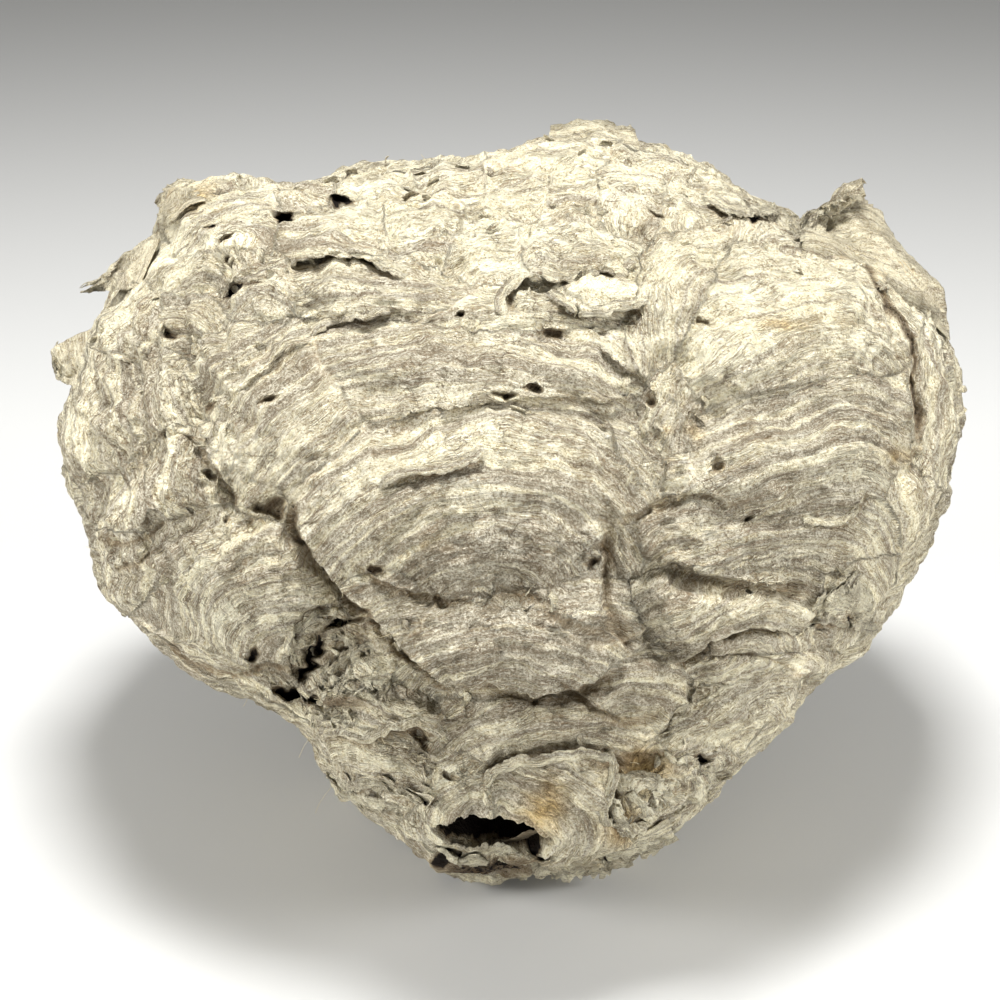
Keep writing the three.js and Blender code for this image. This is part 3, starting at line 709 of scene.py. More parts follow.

# What the paper's finish reads: the arcs as a UV map; how creased, warm or rusty it is; and how brown and
# dark it is, which is painted shade under the ledges and in the entrance, and painted shade over brown inner
# paper in the holes.
brown_and_shade = np.zeros(len(points))
# Painted shade: dark brown under each ledge's edge and inside each hole, fading out towards the rim.
brown_and_shade[front] = np.maximum(inside, 0.7 * ledge_shade) * smooth(0.05, 0.16, direction[front, 2])
# Painted shade: the inside of the entrance is coloured dark brown to near black.
brown_and_shade = np.maximum(brown_and_shade, smooth(0.0, 0.16, pushed_in))

# Brown places under torn paper, darkened further with painted shade: x, y, half width, half height and how
# dark.
BROWN_AND_SHADED_PLACES = ((488, 866, 58, 10, 0.75), (332, 704, 34, 8, 0.6), (342, 656, 28, 30, 0.3),
        (634, 760, 38, 9, 0.6), (616, 812, 10, 26, 0.5), (838, 218, 26, 12, 0.3))
for *shape, share in BROWN_AND_SHADED_PLACES:
    brown_and_shade = np.maximum(brown_and_shade, share * patch(*shape, power=4) * front)
creased = 1 - smooth(0, 1.2, gap)

# Rust-brown stains: x, y, half width, half height in grid steps.
STAINS = ((900, 456, 14, 8), (540, 812, 22, 18), (697, 432, 6, 10), (665, 428, 8, 5), (415, 543, 20, 7),
          (552, 805, 16, 24), (190, 195, 22, 14), (115, 262, 22, 14), (640, 770, 30, 26),
          (800, 322, 40, 6), (905, 240, 26, 40), (620, 820, 22, 20))
stained = np.zeros(len(points))
for shape in STAINS:
    stained = np.maximum(stained, patch(*shape) * front)

# The paper is warmer and lighter towards the crown and the lip. In the middle of the face and over the chin
# it is made greyer and darker, partly grey paper and partly painted shade.
GREY_AND_SHADE_PATCH = (500, 580, 210, 150)
CROWN_RISE = (420, 200)
LIP_FALL = (620, 780)
warm = 0.52 + 0.3 * smooth(*CROWN_RISE, grid_y) + 0.1 * smooth(*LIP_FALL, grid_y)
# Painted shade over the middle and the chin, mixed with the greyer paper there.
warm -= 0.5 * patch(*GREY_AND_SHADE_PATCH) * front
warm += 0.22 * mottle(points, 34, 81) + 0.12 * mottle(points, 12, 82)



def mark(mesh, name, values):
    """Gives each point of a mesh a value that the finish reads."""
    mesh.attributes.new(name, "FLOAT", "POINT").data.foreach_set("value", values)


def lay_arcs(mesh, along, across):
    """Writes each point's arcs to the mesh's UV map, corner by corner."""
    corners = np.empty(len(mesh.loops), np.int32)
    mesh.loops.foreach_get("vertex_index", corners)
    pairs = np.stack([along.ravel(), across.ravel()], axis=-1)[corners]
    mesh.uv_layers["arcs"].uv.foreach_set("vector", pairs.astype(np.float32).ravel())


for name, values in (("brown_and_shade", brown_and_shade), ("creased", creased), ("stained", stained), ("warm", warm),
                     ("crushed", np.clip(crushed, 0, 1))):
    mark(ball.data, name, values)
ball.data.attributes.new("lie", "FLOAT_VECTOR", "POINT").data.foreach_set("vector", normals.ravel())
ball.data.uv_layers.new(name="arcs")
lay_arcs(ball.data, along, across)


def srgb(red, green, blue):
    """A colour as seen on paper, from 0 to 255, as the shader's linear values."""
    shares = np.array((red, green, blue)) / 255
    linear = np.where(shares > 0.04045, ((shares + 0.055) / 1.055) ** 2.4, shares / 12.92)
    return (*linear, 1.0)


class Finish:
    """A node material, built up one node at a time."""

    def __init__(self, name):
        self.material = bpy.data.materials.new(name)
        self.material.use_nodes = True
        self.tree = self.material.node_tree
        self.shader = self.tree.nodes["Principled BSDF"]

    def node(self, kind, inputs=(), **settings):
        made = self.tree.nodes.new(kind)
        for key, value in settings.items():
            setattr(made, key, value)
        for socket, value in inputs:
            if isinstance(value, bpy.types.NodeSocket):
                self.tree.links.new(value, made.inputs[socket])
            else:
                made.inputs[socket].default_value = value
        return made

    def attribute(self, name):
        return self.node("ShaderNodeAttribute", attribute_name=name).outputs["Fac"]

    def maths(self, operation, a, b=0.0, clamp=False):
        return self.node("ShaderNodeMath", [(0, a), (1, b)], operation=operation,
                         use_clamp=clamp).outputs[0]

    def streaks(self, vector, per_mm_along, per_mm_across, detail, seed, wander=0.0):
        moved = self.node("ShaderNodeMapping", [("Vector", vector), ("Location", (seed, seed, 0)),
                                                ("Scale", (per_mm_along, per_mm_across, 1))])
        return self.node("ShaderNodeTexNoise", [("Vector", moved.outputs[0]), ("Scale", 1.0),
                                                ("Detail", detail), ("Roughness", 0.62),
                                                ("Distortion", wander)],
                         noise_dimensions="2D").outputs["Fac"]

    def stretch(self, value, low, high):
        return self.node("ShaderNodeMapRange", [(0, value), (1, low), (2, high)],
                         interpolation_type="SMOOTHSTEP").outputs[0]

    def edge(self, value, level, breadth):
        """1 along the line where the value passes a level, and 0 away from it."""
        off = self.maths("ABSOLUTE", self.maths("SUBTRACT", value, level))
        return self.maths("SUBTRACT", 1.0, self.stretch(off, 0.0, breadth))

    def flakes(self, value):
        """Terraces with crisp ragged edges, like paper that scales off in layers."""
        return self.sum_of(*((self.stretch(value, level, level + 0.02), 1.0)
                             for level in (0.41, 0.51, 0.61)))

    def lumps(self, vector, per_metre, detail, roughness=0.6):
        return self.node("ShaderNodeTexNoise", [("Vector", vector), ("Scale", per_metre),
                                                ("Detail", detail), ("Roughness", roughness)]
                         ).outputs["Fac"]

    def sum_of(self, *parts):
        total = 0.0
        for value, share in parts:
            total = self.node("ShaderNodeMath", [(0, value), (1, share), (2, total)],
                              operation="MULTIPLY_ADD").outputs[0]
        return total

    def ramp(self, factor, stops):
        made = self.node("ShaderNodeValToRGB", [(0, factor)])
        band = made.color_ramp
        while len(band.elements) < len(stops):
            band.elements.new(0.5)
        for element, (position, colour) in zip(band.elements, stops):
            element.position = position
            element.color = colour
        return made.outputs[0]

    def mix(self, factor, first, second, blend="MIX"):
        return self.node("ShaderNodeMix", [(0, factor), (6, first), (7, second)], data_type="RGBA",
                         blend_type=blend).outputs[2]


# The paper's colours, with the share of light fibre at which a shade is reached.
CREAM = ((0.34, srgb(176, 160, 124)), (0.45, srgb(218, 205, 168)), (0.53, srgb(237, 227, 193)),
         (0.64, srgb(248, 242, 216)))
GREY = ((0.34, srgb(146, 135, 113)), (0.45, srgb(187, 178, 157)), (0.53, srgb(207, 199, 178)),
        (0.64, srgb(229, 223, 205)))
# Painted shade over the brown of the inner paper: brown for shallow hollows, near black for deep ones.
INNER_BROWN_AND_SHADE = ((0.35, srgb(142, 116, 76)), (0.7, srgb(88, 66, 40)), (0.95, srgb(24, 17, 11)))
RUST_WASH = srgb(246, 220, 172)
# Dust and painted shade for the creases.
DUST_AND_CREASE_SHADE = srgb(112, 100, 78)
# Painted shadow under the edges of the flakes, dark and brown.
FLAKE_EDGE_SHADOW = srgb(124, 104, 76)
FLAKE_EDGE_SHADOW_BROWN = srgb(138, 118, 90)
# Painted highlight for the free edges of the sheets.
EDGE_HIGHLIGHT = srgb(244, 235, 208)
# Painted shadow in the wrinkle creases.
CREASE_SHADOW = srgb(104, 84, 60)
# Near-black painted shade for the deepest holes and the entrance.
DEEP_SHADE = srgb(30, 21, 13)
BUMP_HEIGHT = 0.5


def nest_finish(name):
    """Nest paper: cream and grey fibre laid in arcs, tan in places, brown where it is ripped, with painted
    shade in hollows, creases and under flake edges, and a painted highlight on free edges.
    """
    paper = Finish(name)
    arcs_map = paper.node("ShaderNodeUVMap", uv_map="arcs").outputs[0]
    here = paper.node("ShaderNodeTexCoord").outputs["Object"]
    broad = paper.streaks(arcs_map, 0.012, 0.45, 3.5, 3.1, 0.25)
    bands = paper.streaks(arcs_map, 0.10, 0.75, 4, 11.7, 0.3)
    blots = paper.streaks(arcs_map, 0.45, 1.7, 4, 23.9, 0.8)
    fibres = paper.streaks(arcs_map, 1.3, 3.0, 3, 37.3, 1.0)
    layers = [paper.streaks(arcs_map, 0.045, 0.5, 2.5, 51.3, 0.5),
              paper.streaks(arcs_map, 0.14, 1.2, 2.5, 67.1, 0.6)]
    felt = paper.lumps(here, 1500.0, 2, 0.8)
    cloud = paper.lumps(here, 55.0, 3)
    patches = paper.stretch(paper.lumps(here, 110.0, 3), 0.42, 0.58)
    wrinkles = paper.lumps(here, 170.0, 4, 0.55)
    crumple = paper.lumps(here, 330.0, 4, 0.66)
    facets = [paper.maths("ABSOLUTE", paper.maths("SUBTRACT", lumps, 0.5))
              for lumps in (wrinkles, crumple)]
    # The crumple facets darken the colour along the creases of the wrinkles: painted shade in the creases.
    light = paper.sum_of((broad, 0.48), (bands, 0.16), (blots, 0.28), (fibres, 0.48), (felt, 0.85),
                         (facets[0], 0.2), (facets[1], 0.5), (cloud, 0.3),
                         (paper.attribute("warm"), 0.10))
    light = paper.maths("SUBTRACT", light, 0.85)
    warmth = paper.sum_of((paper.attribute("warm"), 1.0), (broad, 4.5), (cloud, 1.0))
    warmth = paper.maths("SUBTRACT", warmth, 2.75, clamp=True)
    colour = paper.mix(warmth, paper.ramp(light, GREY), paper.ramp(light, CREAM))
    tan = paper.mix(1.0, colour, RUST_WASH, "MULTIPLY")
    rust = paper.maths("MULTIPLY", paper.attribute("stained"), paper.ramp(
        cloud, [(0.36, (0, 0, 0, 1)), (0.56, (1, 1, 1, 1))]), clamp=True)
    colour = paper.mix(rust, colour, tan)
    # Near the creases between swellings the paper is darkened: dust, and painted shade.
    dust_and_crease_shade = paper.maths("MULTIPLY", paper.attribute("creased"), 0.15)
    colour = paper.mix(dust_and_crease_shade, colour, DUST_AND_CREASE_SHADE)
    # Thin dark lines at the foot of the flake terraces: painted shadow under the flake edges.
    lines = [paper.maths("MULTIPLY", patches, paper.sum_of(*(
        (paper.edge(layer, level, breadth), 1.0) for level in (0.40, 0.5, 0.60))))
        for layer, breadth in zip(layers, (0.028, 0.045))]
    colour = paper.mix(paper.maths("MULTIPLY", lines[0], 0.62), colour, FLAKE_EDGE_SHADOW)
    colour = paper.mix(paper.maths("MULTIPLY", lines[1], 0.45), colour, FLAKE_EDGE_SHADOW_BROWN)
    # Painted highlight: the free edges of the sheets are lightened, as if catching the light.
    colour = paper.mix(paper.maths("MULTIPLY", paper.attribute("edge_highlight"), 0.6), colour, EDGE_HIGHLIGHT)
    crushed = paper.attribute("crushed")
    # Thin dark lines along the wrinkle creases, most in the crushed places: painted shadow in the creases.
    crease_shadow_lines = paper.maths("MULTIPLY", paper.edge(wrinkles, 0.5, 0.016), paper.sum_of(
        (paper.stretch(cloud, 0.50, 0.60), 1.0), (crushed, 0.8)), clamp=True)
    colour = paper.mix(paper.maths("MULTIPLY", crease_shadow_lines, 0.6), colour, CREASE_SHADOW)
    # Painted shade: where the paper is ripped, in holes, under ledges and in the entrance, its colour is
    # pulled towards dark brown and black.
    brown_and_shade = paper.attribute("brown_and_shade")
    colour = paper.mix(paper.maths("MULTIPLY", brown_and_shade, 1.15, clamp=True), colour,
                       paper.ramp(brown_and_shade, INNER_BROWN_AND_SHADE))
    # Painted shade: the darkest parts of holes and the entrance turn near black in ragged specks.
    deep_shade_specks = paper.sum_of((brown_and_shade, 1.0), (paper.lumps(here, 700.0, 3, 0.7), 1.2))
    colour = paper.mix(paper.stretch(deep_shade_specks, 1.34, 1.42), colour, DEEP_SHADE)
    paper.tree.links.new(colour, paper.shader.inputs["Base Color"])
    paper.shader.inputs["Roughness"].default_value = 0.9
    paper.shader.inputs["Specular IOR Level"].default_value = 0.22

    facet_height = paper.sum_of((crushed, 4.0), (1.0, 3.4))
    height = paper.sum_of((facets[0], facet_height), (facets[1], 3.6), (crease_shadow_lines, -0.8), (blots, 0.9),
                          (fibres, 0.8), (crumple, 0.6), (felt, 1.7),
                          (paper.flakes(layers[0]), 0.8), (paper.flakes(layers[1]), 0.5),
                          (lines[0], -0.4), (lines[1], -0.3))
    away_from_crease = paper.maths("SUBTRACT", 1.0, paper.attribute("creased"))
    bump = paper.node("ShaderNodeBump", [("Height", paper.maths("MULTIPLY", height,
                                                                away_from_crease)),
                                         ("Strength", 1.0), ("Distance", BUMP_HEIGHT * MM)])
    paper.tree.links.new(bump.outputs[0], paper.shader.inputs["Normal"])
    return paper.material


nest_paper = nest_finish("nest_paper")
ball.data.materials.append(nest_paper)

# The ball is parted into four closed pieces that meet at one point inside it, because a single
# mesh as fine as this would be too heavy.
polygon_count = len(ball.data.polygons)
polygon_middle = np.empty(3 * polygon_count)
set_points(ball.data, cube / MM)
ball.data.polygons.foreach_get("center", polygon_middle)
set_points(ball.data, points)
polygon_middle = polygon_middle.reshape(-1, 3)
FACE_SHARE = 0.75
zone = np.where(polygon_middle[:, 1] > 0, 2, 3)
zone[polygon_middle[:, 2] > FACE_SHARE] = 0
zone[polygon_middle[:, 2] < -FACE_SHARE] = 1
zones = ball.data.attributes.new("zone", "INT", "FACE")
zones.data.foreach_set("value", zone.astype(np.int32))

for number, name in enumerate(("nest_face", "nest_back", "nest_crown", "nest_underside")):
    piece = ball if number == 3 else ball.copy()
    if number < 3:
        piece.data = ball.data.copy()
        bpy.context.collection.objects.link(piece)
    piece.name = name
    piece.data.name = name
    cut = bmesh.new()
    cut.from_mesh(piece.data)
    layer = cut.faces.layers.int["zone"]
    bmesh.ops.delete(cut, geom=[f for f in cut.faces if f[layer] != number], context="FACES")
    open_edges = [edge for edge in cut.edges if edge.is_boundary]
    hub = cut.verts.new(middle * MM)
    for edge in open_edges:
        loop = edge.link_loops[0]
        cut.faces.new((loop.link_loop_next.vert, loop.vert, hub))
    cut.to_mesh(piece.data)
    cut.free()
    lie = np.empty(3 * len(piece.data.vertices))
    piece.data.attributes["lie"].data.foreach_get("vector", lie)
    piece.data.normals_split_custom_set_from_vertices(lie.reshape(-1, 3))
    for spare in ("lie", "zone"):
        piece.data.attributes.remove(piece.data.attributes[spare])
    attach(piece, "root")
    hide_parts("paper_envelope")

# ---- The torn lips -----------------------------------------------------------------------
# Where one paper layer ends over the next, its edge stands free: a single stiff sheet of chewed
# fibre, thinner than card, torn ragged and curled a little outwards. Each grows out of the layer
# behind it.

PAPER_THICKNESS = 0.24
ROUTE_STEP = 1.5
ROW_POINTS = 24


def resample(line, count):
    """Evenly spaced places along a smooth line through given points."""
    route = curve_through(line, ROUTE_STEP)
    before = np.concatenate([[0], np.cumsum(np.linalg.norm(np.diff(route, axis=0), axis=1))])
    wanted = np.linspace(0, before[-1], count)
    return np.stack([np.interp(wanted, before, column) for column in route.T], axis=1)


def over(surface, rows):
    """Rows of x, y and height over a surface, as rows of points in mm."""
    laid = [resample(row, ROW_POINTS) for row in rows]
    return [place(row[:, 0], row[:, 1], surface(row[:, 0], row[:, 1]) + row[:, 2]) for row in laid]


def lay_sheet(name, rows, ragged_edge, crumple, seed, step_mm, warmth, brown_and_shade=0.0):
    """A sheet through rows of points in mm, from its root to its free edge."""
    lengths = [np.linalg.norm(np.diff(row, axis=0), axis=1).sum() for row in rows]
    columns = max(5, int(max(lengths) / step_mm))
    knots = np.stack([resample(row, columns) for row in rows])
    breadth = np.linalg.norm(np.diff(knots, axis=0), axis=2).sum(0)
    lines = max(4, int(breadth.mean() / step_mm) + 1)
    column_at = np.linspace(0, 1, columns)
    strip = np.stack([np.arange(columns) * step_mm, np.zeros(columns), np.full(columns, 9.0 * seed)],
                     axis=-1)
    tear = (0.5 + 0.3 * mottle(strip, 7, seed) + 0.3 * mottle(strip, 2.6, seed + 1)
            + 0.2 * mottle(strip, 1.2, seed + 5))
    reach = 1 - ragged_edge * np.clip(tear, 0, 1.2)
    share = np.linspace(0, 1, lines)[:, None] * reach
    at = share * (len(rows) - 1)
    low = np.minimum(at.astype(int), len(rows) - 2)
    part = (at - low)[..., None]
    ends = np.concatenate([[2 * knots[0] - knots[1]], knots, [2 * knots[-1] - knots[-2]]])
    column_number = np.arange(columns)[None, :].repeat(lines, 0)
    a, b, c, d = (ends[low + k, column_number] for k in range(4))
    places = 0.5 * (2 * b + (c - a) * part + (2 * a - 5 * b + 4 * c - d) * part**2
                    + (3 * b - a - 3 * c + d) * part**3)
    tangent = np.gradient(places, axis=1)
    slope = np.gradient(places, axis=0)
    normal = np.cross(tangent, slope)
    normal /= np.maximum(np.linalg.norm(normal, axis=2), 1e-9)[..., None]
    spots = places.reshape(-1, 3)
    wrinkle = (0.6 * mottle(spots, 7, seed + 2) + 0.45 * (1 - 2 * np.abs(mottle(spots, 4, seed + 3)))
               + 0.3 * mottle(spots, 1.8, seed + 4)).reshape(lines, columns)
    places = places + normal * (crumple * wrinkle * smooth(0, 0.35, share))[..., None]
    bpy.ops.object.select_all(action="DESELECT")
    bpy.ops.mesh.primitive_grid_add(x_subdivisions=columns - 1, y_subdivisions=lines - 1, size=1)
    sheet = bpy.context.object
    sheet.name = name
    set_points(sheet.data, places.reshape(-1, 3))
    along_mm = (column_at[None, :] * max(lengths)).repeat(lines, 0) + 61.0 * seed
    across_mm = share * breadth + 17.0 * seed
    sheet.data.uv_layers[0].name = "arcs"
    lay_arcs(sheet.data, along_mm, across_mm)
    mark(sheet.data, "warm", warmth + 0.2 * mottle(spots, 12, 82))
    # The free edge is marked for a painted highlight.
    mark(sheet.data, "edge_highlight", 0.8 * smooth(0.7, 1.0, share).ravel())
    # Each sheet's brownness, partly painted shade for the sheets deep in the entrance.
    mark(sheet.data, "brown_and_shade", np.full(len(spots), brown_and_shade))
    bpy.ops.object.modifier_add(type="SOLIDIFY")
    sheet.modifiers["Solidify"].thickness = PAPER_THICKNESS * MM
    sheet.modifiers["Solidify"].offset = 0
    bpy.ops.object.modifier_apply(modifier="Solidify")
    bpy.ops.object.shade_smooth()
    sheet.data.materials.append(nest_paper)
    return sheet


def one_piece(name, sheets):
    """Sheets joined into one of the nest's pieces."""
    bpy.ops.object.select_all(action="DESELECT")
    for sheet in sheets:
        sheet.select_set(True)
    bpy.context.view_layer.objects.active = sheets[0]
    if len(sheets) > 1:
        bpy.ops.object.join()
    piece = sheets[0]
    piece.name = name
    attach(piece, "root")
    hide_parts("paper_envelope")
    return piece


# Lips: how far behind the ledge the sheet takes root and how far it stands beyond, in grid steps,
# and its curl in mm. Its root is sunk into the layer behind, and it lifts off just before the edge.
ROOT_SUNK = 0.9
EDGE_LIFT = 0.5
BEFORE_EDGE = 3
SLOPE_KEPT = 0.3
LIPS = {
    "brow_lip_1": (9, 5, 1.0), "brow_lip_4": (9, 5, 0.9), "brow_lip_5": (8, 4, 0.6),
    "wave_lip": (8, 4, 0.8), "panel_lip": (9, 5, 1.2), "belly_ledge": (9, 4, 1.0),
    "lip_crack": (9, 4, 0.7), "lip_side": (9, 4, 1.0), "shelf_1": (9, 3, 0.9),
    "shelf_2": (9, 3, 0.8), "roof_lip": (9, 3, 0.8), "belt_flap": (8, 3, 0.6),
    "belt_diagonal": (7, 3, 0.9),
}
lips = []
for seed, (name, (root, beyond, curl)) in enumerate(LIPS.items()):
    line = resample(LEDGES[name][-1], 60)
    line = 2 * line - np.stack(ragged(*line.T), axis=1)
    heading = np.gradient(line, axis=0)
    heading /= np.linalg.norm(heading, axis=1)[:, None]
    beyond_way = np.stack([-heading[:, 1], heading[:, 0]], axis=1)
    behind, before = line - root * beyond_way, line - BEFORE_EDGE * beyond_way
    free = line + beyond * beyond_way
    back_depth = face_depth(*behind.T)
    edge_depth = face_depth(*before.T)
    free_depth = edge_depth + curl + SLOPE_KEPT * (edge_depth - back_depth)
    rows = [place(*behind.T, back_depth - ROOT_SUNK), place(*before.T, edge_depth + EDGE_LIFT),
            place(*free.T, free_depth)]
    lips.append(lay_sheet(name, rows, 0.3, 0.3, 100 + 7 * seed, step_mm=0.75, warmth=0.6))
one_piece("torn_lips", lips)

# ---- The fin and the outer flaps ---------------------------------------------------------
# Outer layers torn free at the shoulders: a tall stiff fin on the right with a rolled, frayed
# edge, a pointed flap and a scroll on the left, and frayed tufts along the crown.

# Flaps: how ragged the edge is, how crumpled in mm, and rows of x, y and height in mm from the root
# to the free edge.
FLAPS = {
    "fin": (0.10, 0.7, (
        ((800, 262, -6), (840, 282, -6), (885, 300, -6), (925, 318, -6), (950, 340, -6)),
        ((803, 240, 2), (838, 245, 5), (875, 262, 6), (915, 290, 5), (946, 315, 1)),
        ((805, 226, 3), (838, 216, 8), (868, 224, 9), (905, 262, 7), (945, 292, 2)),
        ((808, 220, 1), (846, 190, 5), (866, 187, 5), (906, 250, 3), (945, 286, 0)))),
    "fin_roll": (0.25, 0.9, (
        ((800, 238, 3), (822, 226, 6), (846, 208, 9), (866, 196, 8)),
        ((802, 224, 8), (820, 212, 12), (842, 194, 13), (862, 184, 11)),
        ((808, 214, 5), (826, 204, 8), (846, 186, 9), (864, 180, 8)),
        ((814, 222, 2), (832, 210, 5), (852, 196, 6), (868, 188, 6)))),
    "side_point": (0.25, 1.0, (
        ((166, 226, -5), (172, 262, -5), (168, 296, -5)),
        ((130, 250, 3), (134, 268, 6), (128, 290, 3)),
        ((104, 272, 3), (106, 281, 5), (100, 291, 3)),
        ((80, 289, 3), (81, 291, 3), (80, 293, 3)))),
    "side_point_fold": (0.3, 1.0, (
        ((160, 238, 2), (150, 262, 4), (140, 284, 4)),
        ((136, 246, 8), (128, 260, 9), (118, 280, 8)),
        ((118, 258, 6), (110, 268, 8), (98, 284, 5)))),
    "side_scroll": (0.3, 1.0, (
        ((94, 328, -4), (92, 358, -4), (88, 390, -4)),
        ((72, 336, 3), (70, 360, 5), (72, 386, 3)),
        ((54, 346, 2), (52, 362, 4), (58, 380, 2)),
        ((58, 340, -4), (60, 358, -5), (66, 374, -4)))),
    "crown_tuft": (0.3, 1.0, (
        ((222, 190, -4), (200, 216, -4), (172, 246, -4)),
        ((196, 182, 4), (178, 200, 6), (160, 222, 4)),
        ((172, 178, 4), (164, 190, 5), (154, 210, 3)))),
    "crown_tuft_curl": (0.35, 1.2, (
        ((206, 200, 2), (188, 206, 4), (174, 220, 3)),
        ((188, 184, 8), (172, 190, 9), (160, 208, 7)),
        ((166, 176, 5), (160, 184, 6), (152, 200, 4)))),
    "crown_flake": (0.35, 1.0, (
        ((548, 150, -6), (592, 146, -6), (640, 152, -6)),
        ((550, 130, -1), (592, 126, 1), (636, 134, -1)),
        ((552, 118, -2), (590, 112, -1), (630, 124, -2)))),
    "left_low_tuft": (0.35, 0.9, (
        ((124, 574, -3), (134, 590, -3), (142, 606, -3)),
        ((104, 584, 2), (114, 600, 3), (128, 614, 2)),
        ((98, 592, 1), (110, 608, 2), (124, 620, 1)))),
    "fin_curl": (0.45, 1.6, (
        ((806, 232, 4), (822, 218, 6), (842, 204, 7)),
        ((812, 222, 12), (826, 208, 14), (846, 194, 14)),
        ((824, 214, 16), (838, 202, 17), (856, 190, 15)),
        ((834, 222, 12), (848, 210, 13), (862, 200, 11)))),
    "fin_scrap": (0.5, 1.8, (
        ((800, 242, 2), (812, 238, 3), (826, 234, 3)),
        ((800, 226, 8), (813, 220, 9), (828, 218, 8)),
        ((808, 214, 9), (818, 208, 10), (830, 208, 9)))),
}
flaps = [lay_sheet(name, over(smooth_depth, rows), ragged_edge, crumple, 300 + 9 * seed,
                   step_mm=1.0, warmth=0.9, brown_and_shade=0.13)
         for seed, (name, (ragged_edge, crumple, rows)) in enumerate(FLAPS.items())]
one_piece("torn_flaps", flaps)

# ---- The torn inner paper ----------------------------------------------------------------
# Layers torn open inside the entrance and round its foot, in the tear on the left, along the chin and low on
# the right. They are browner than the outside, partly by painted shade, crushed, and still held at their
# roots.

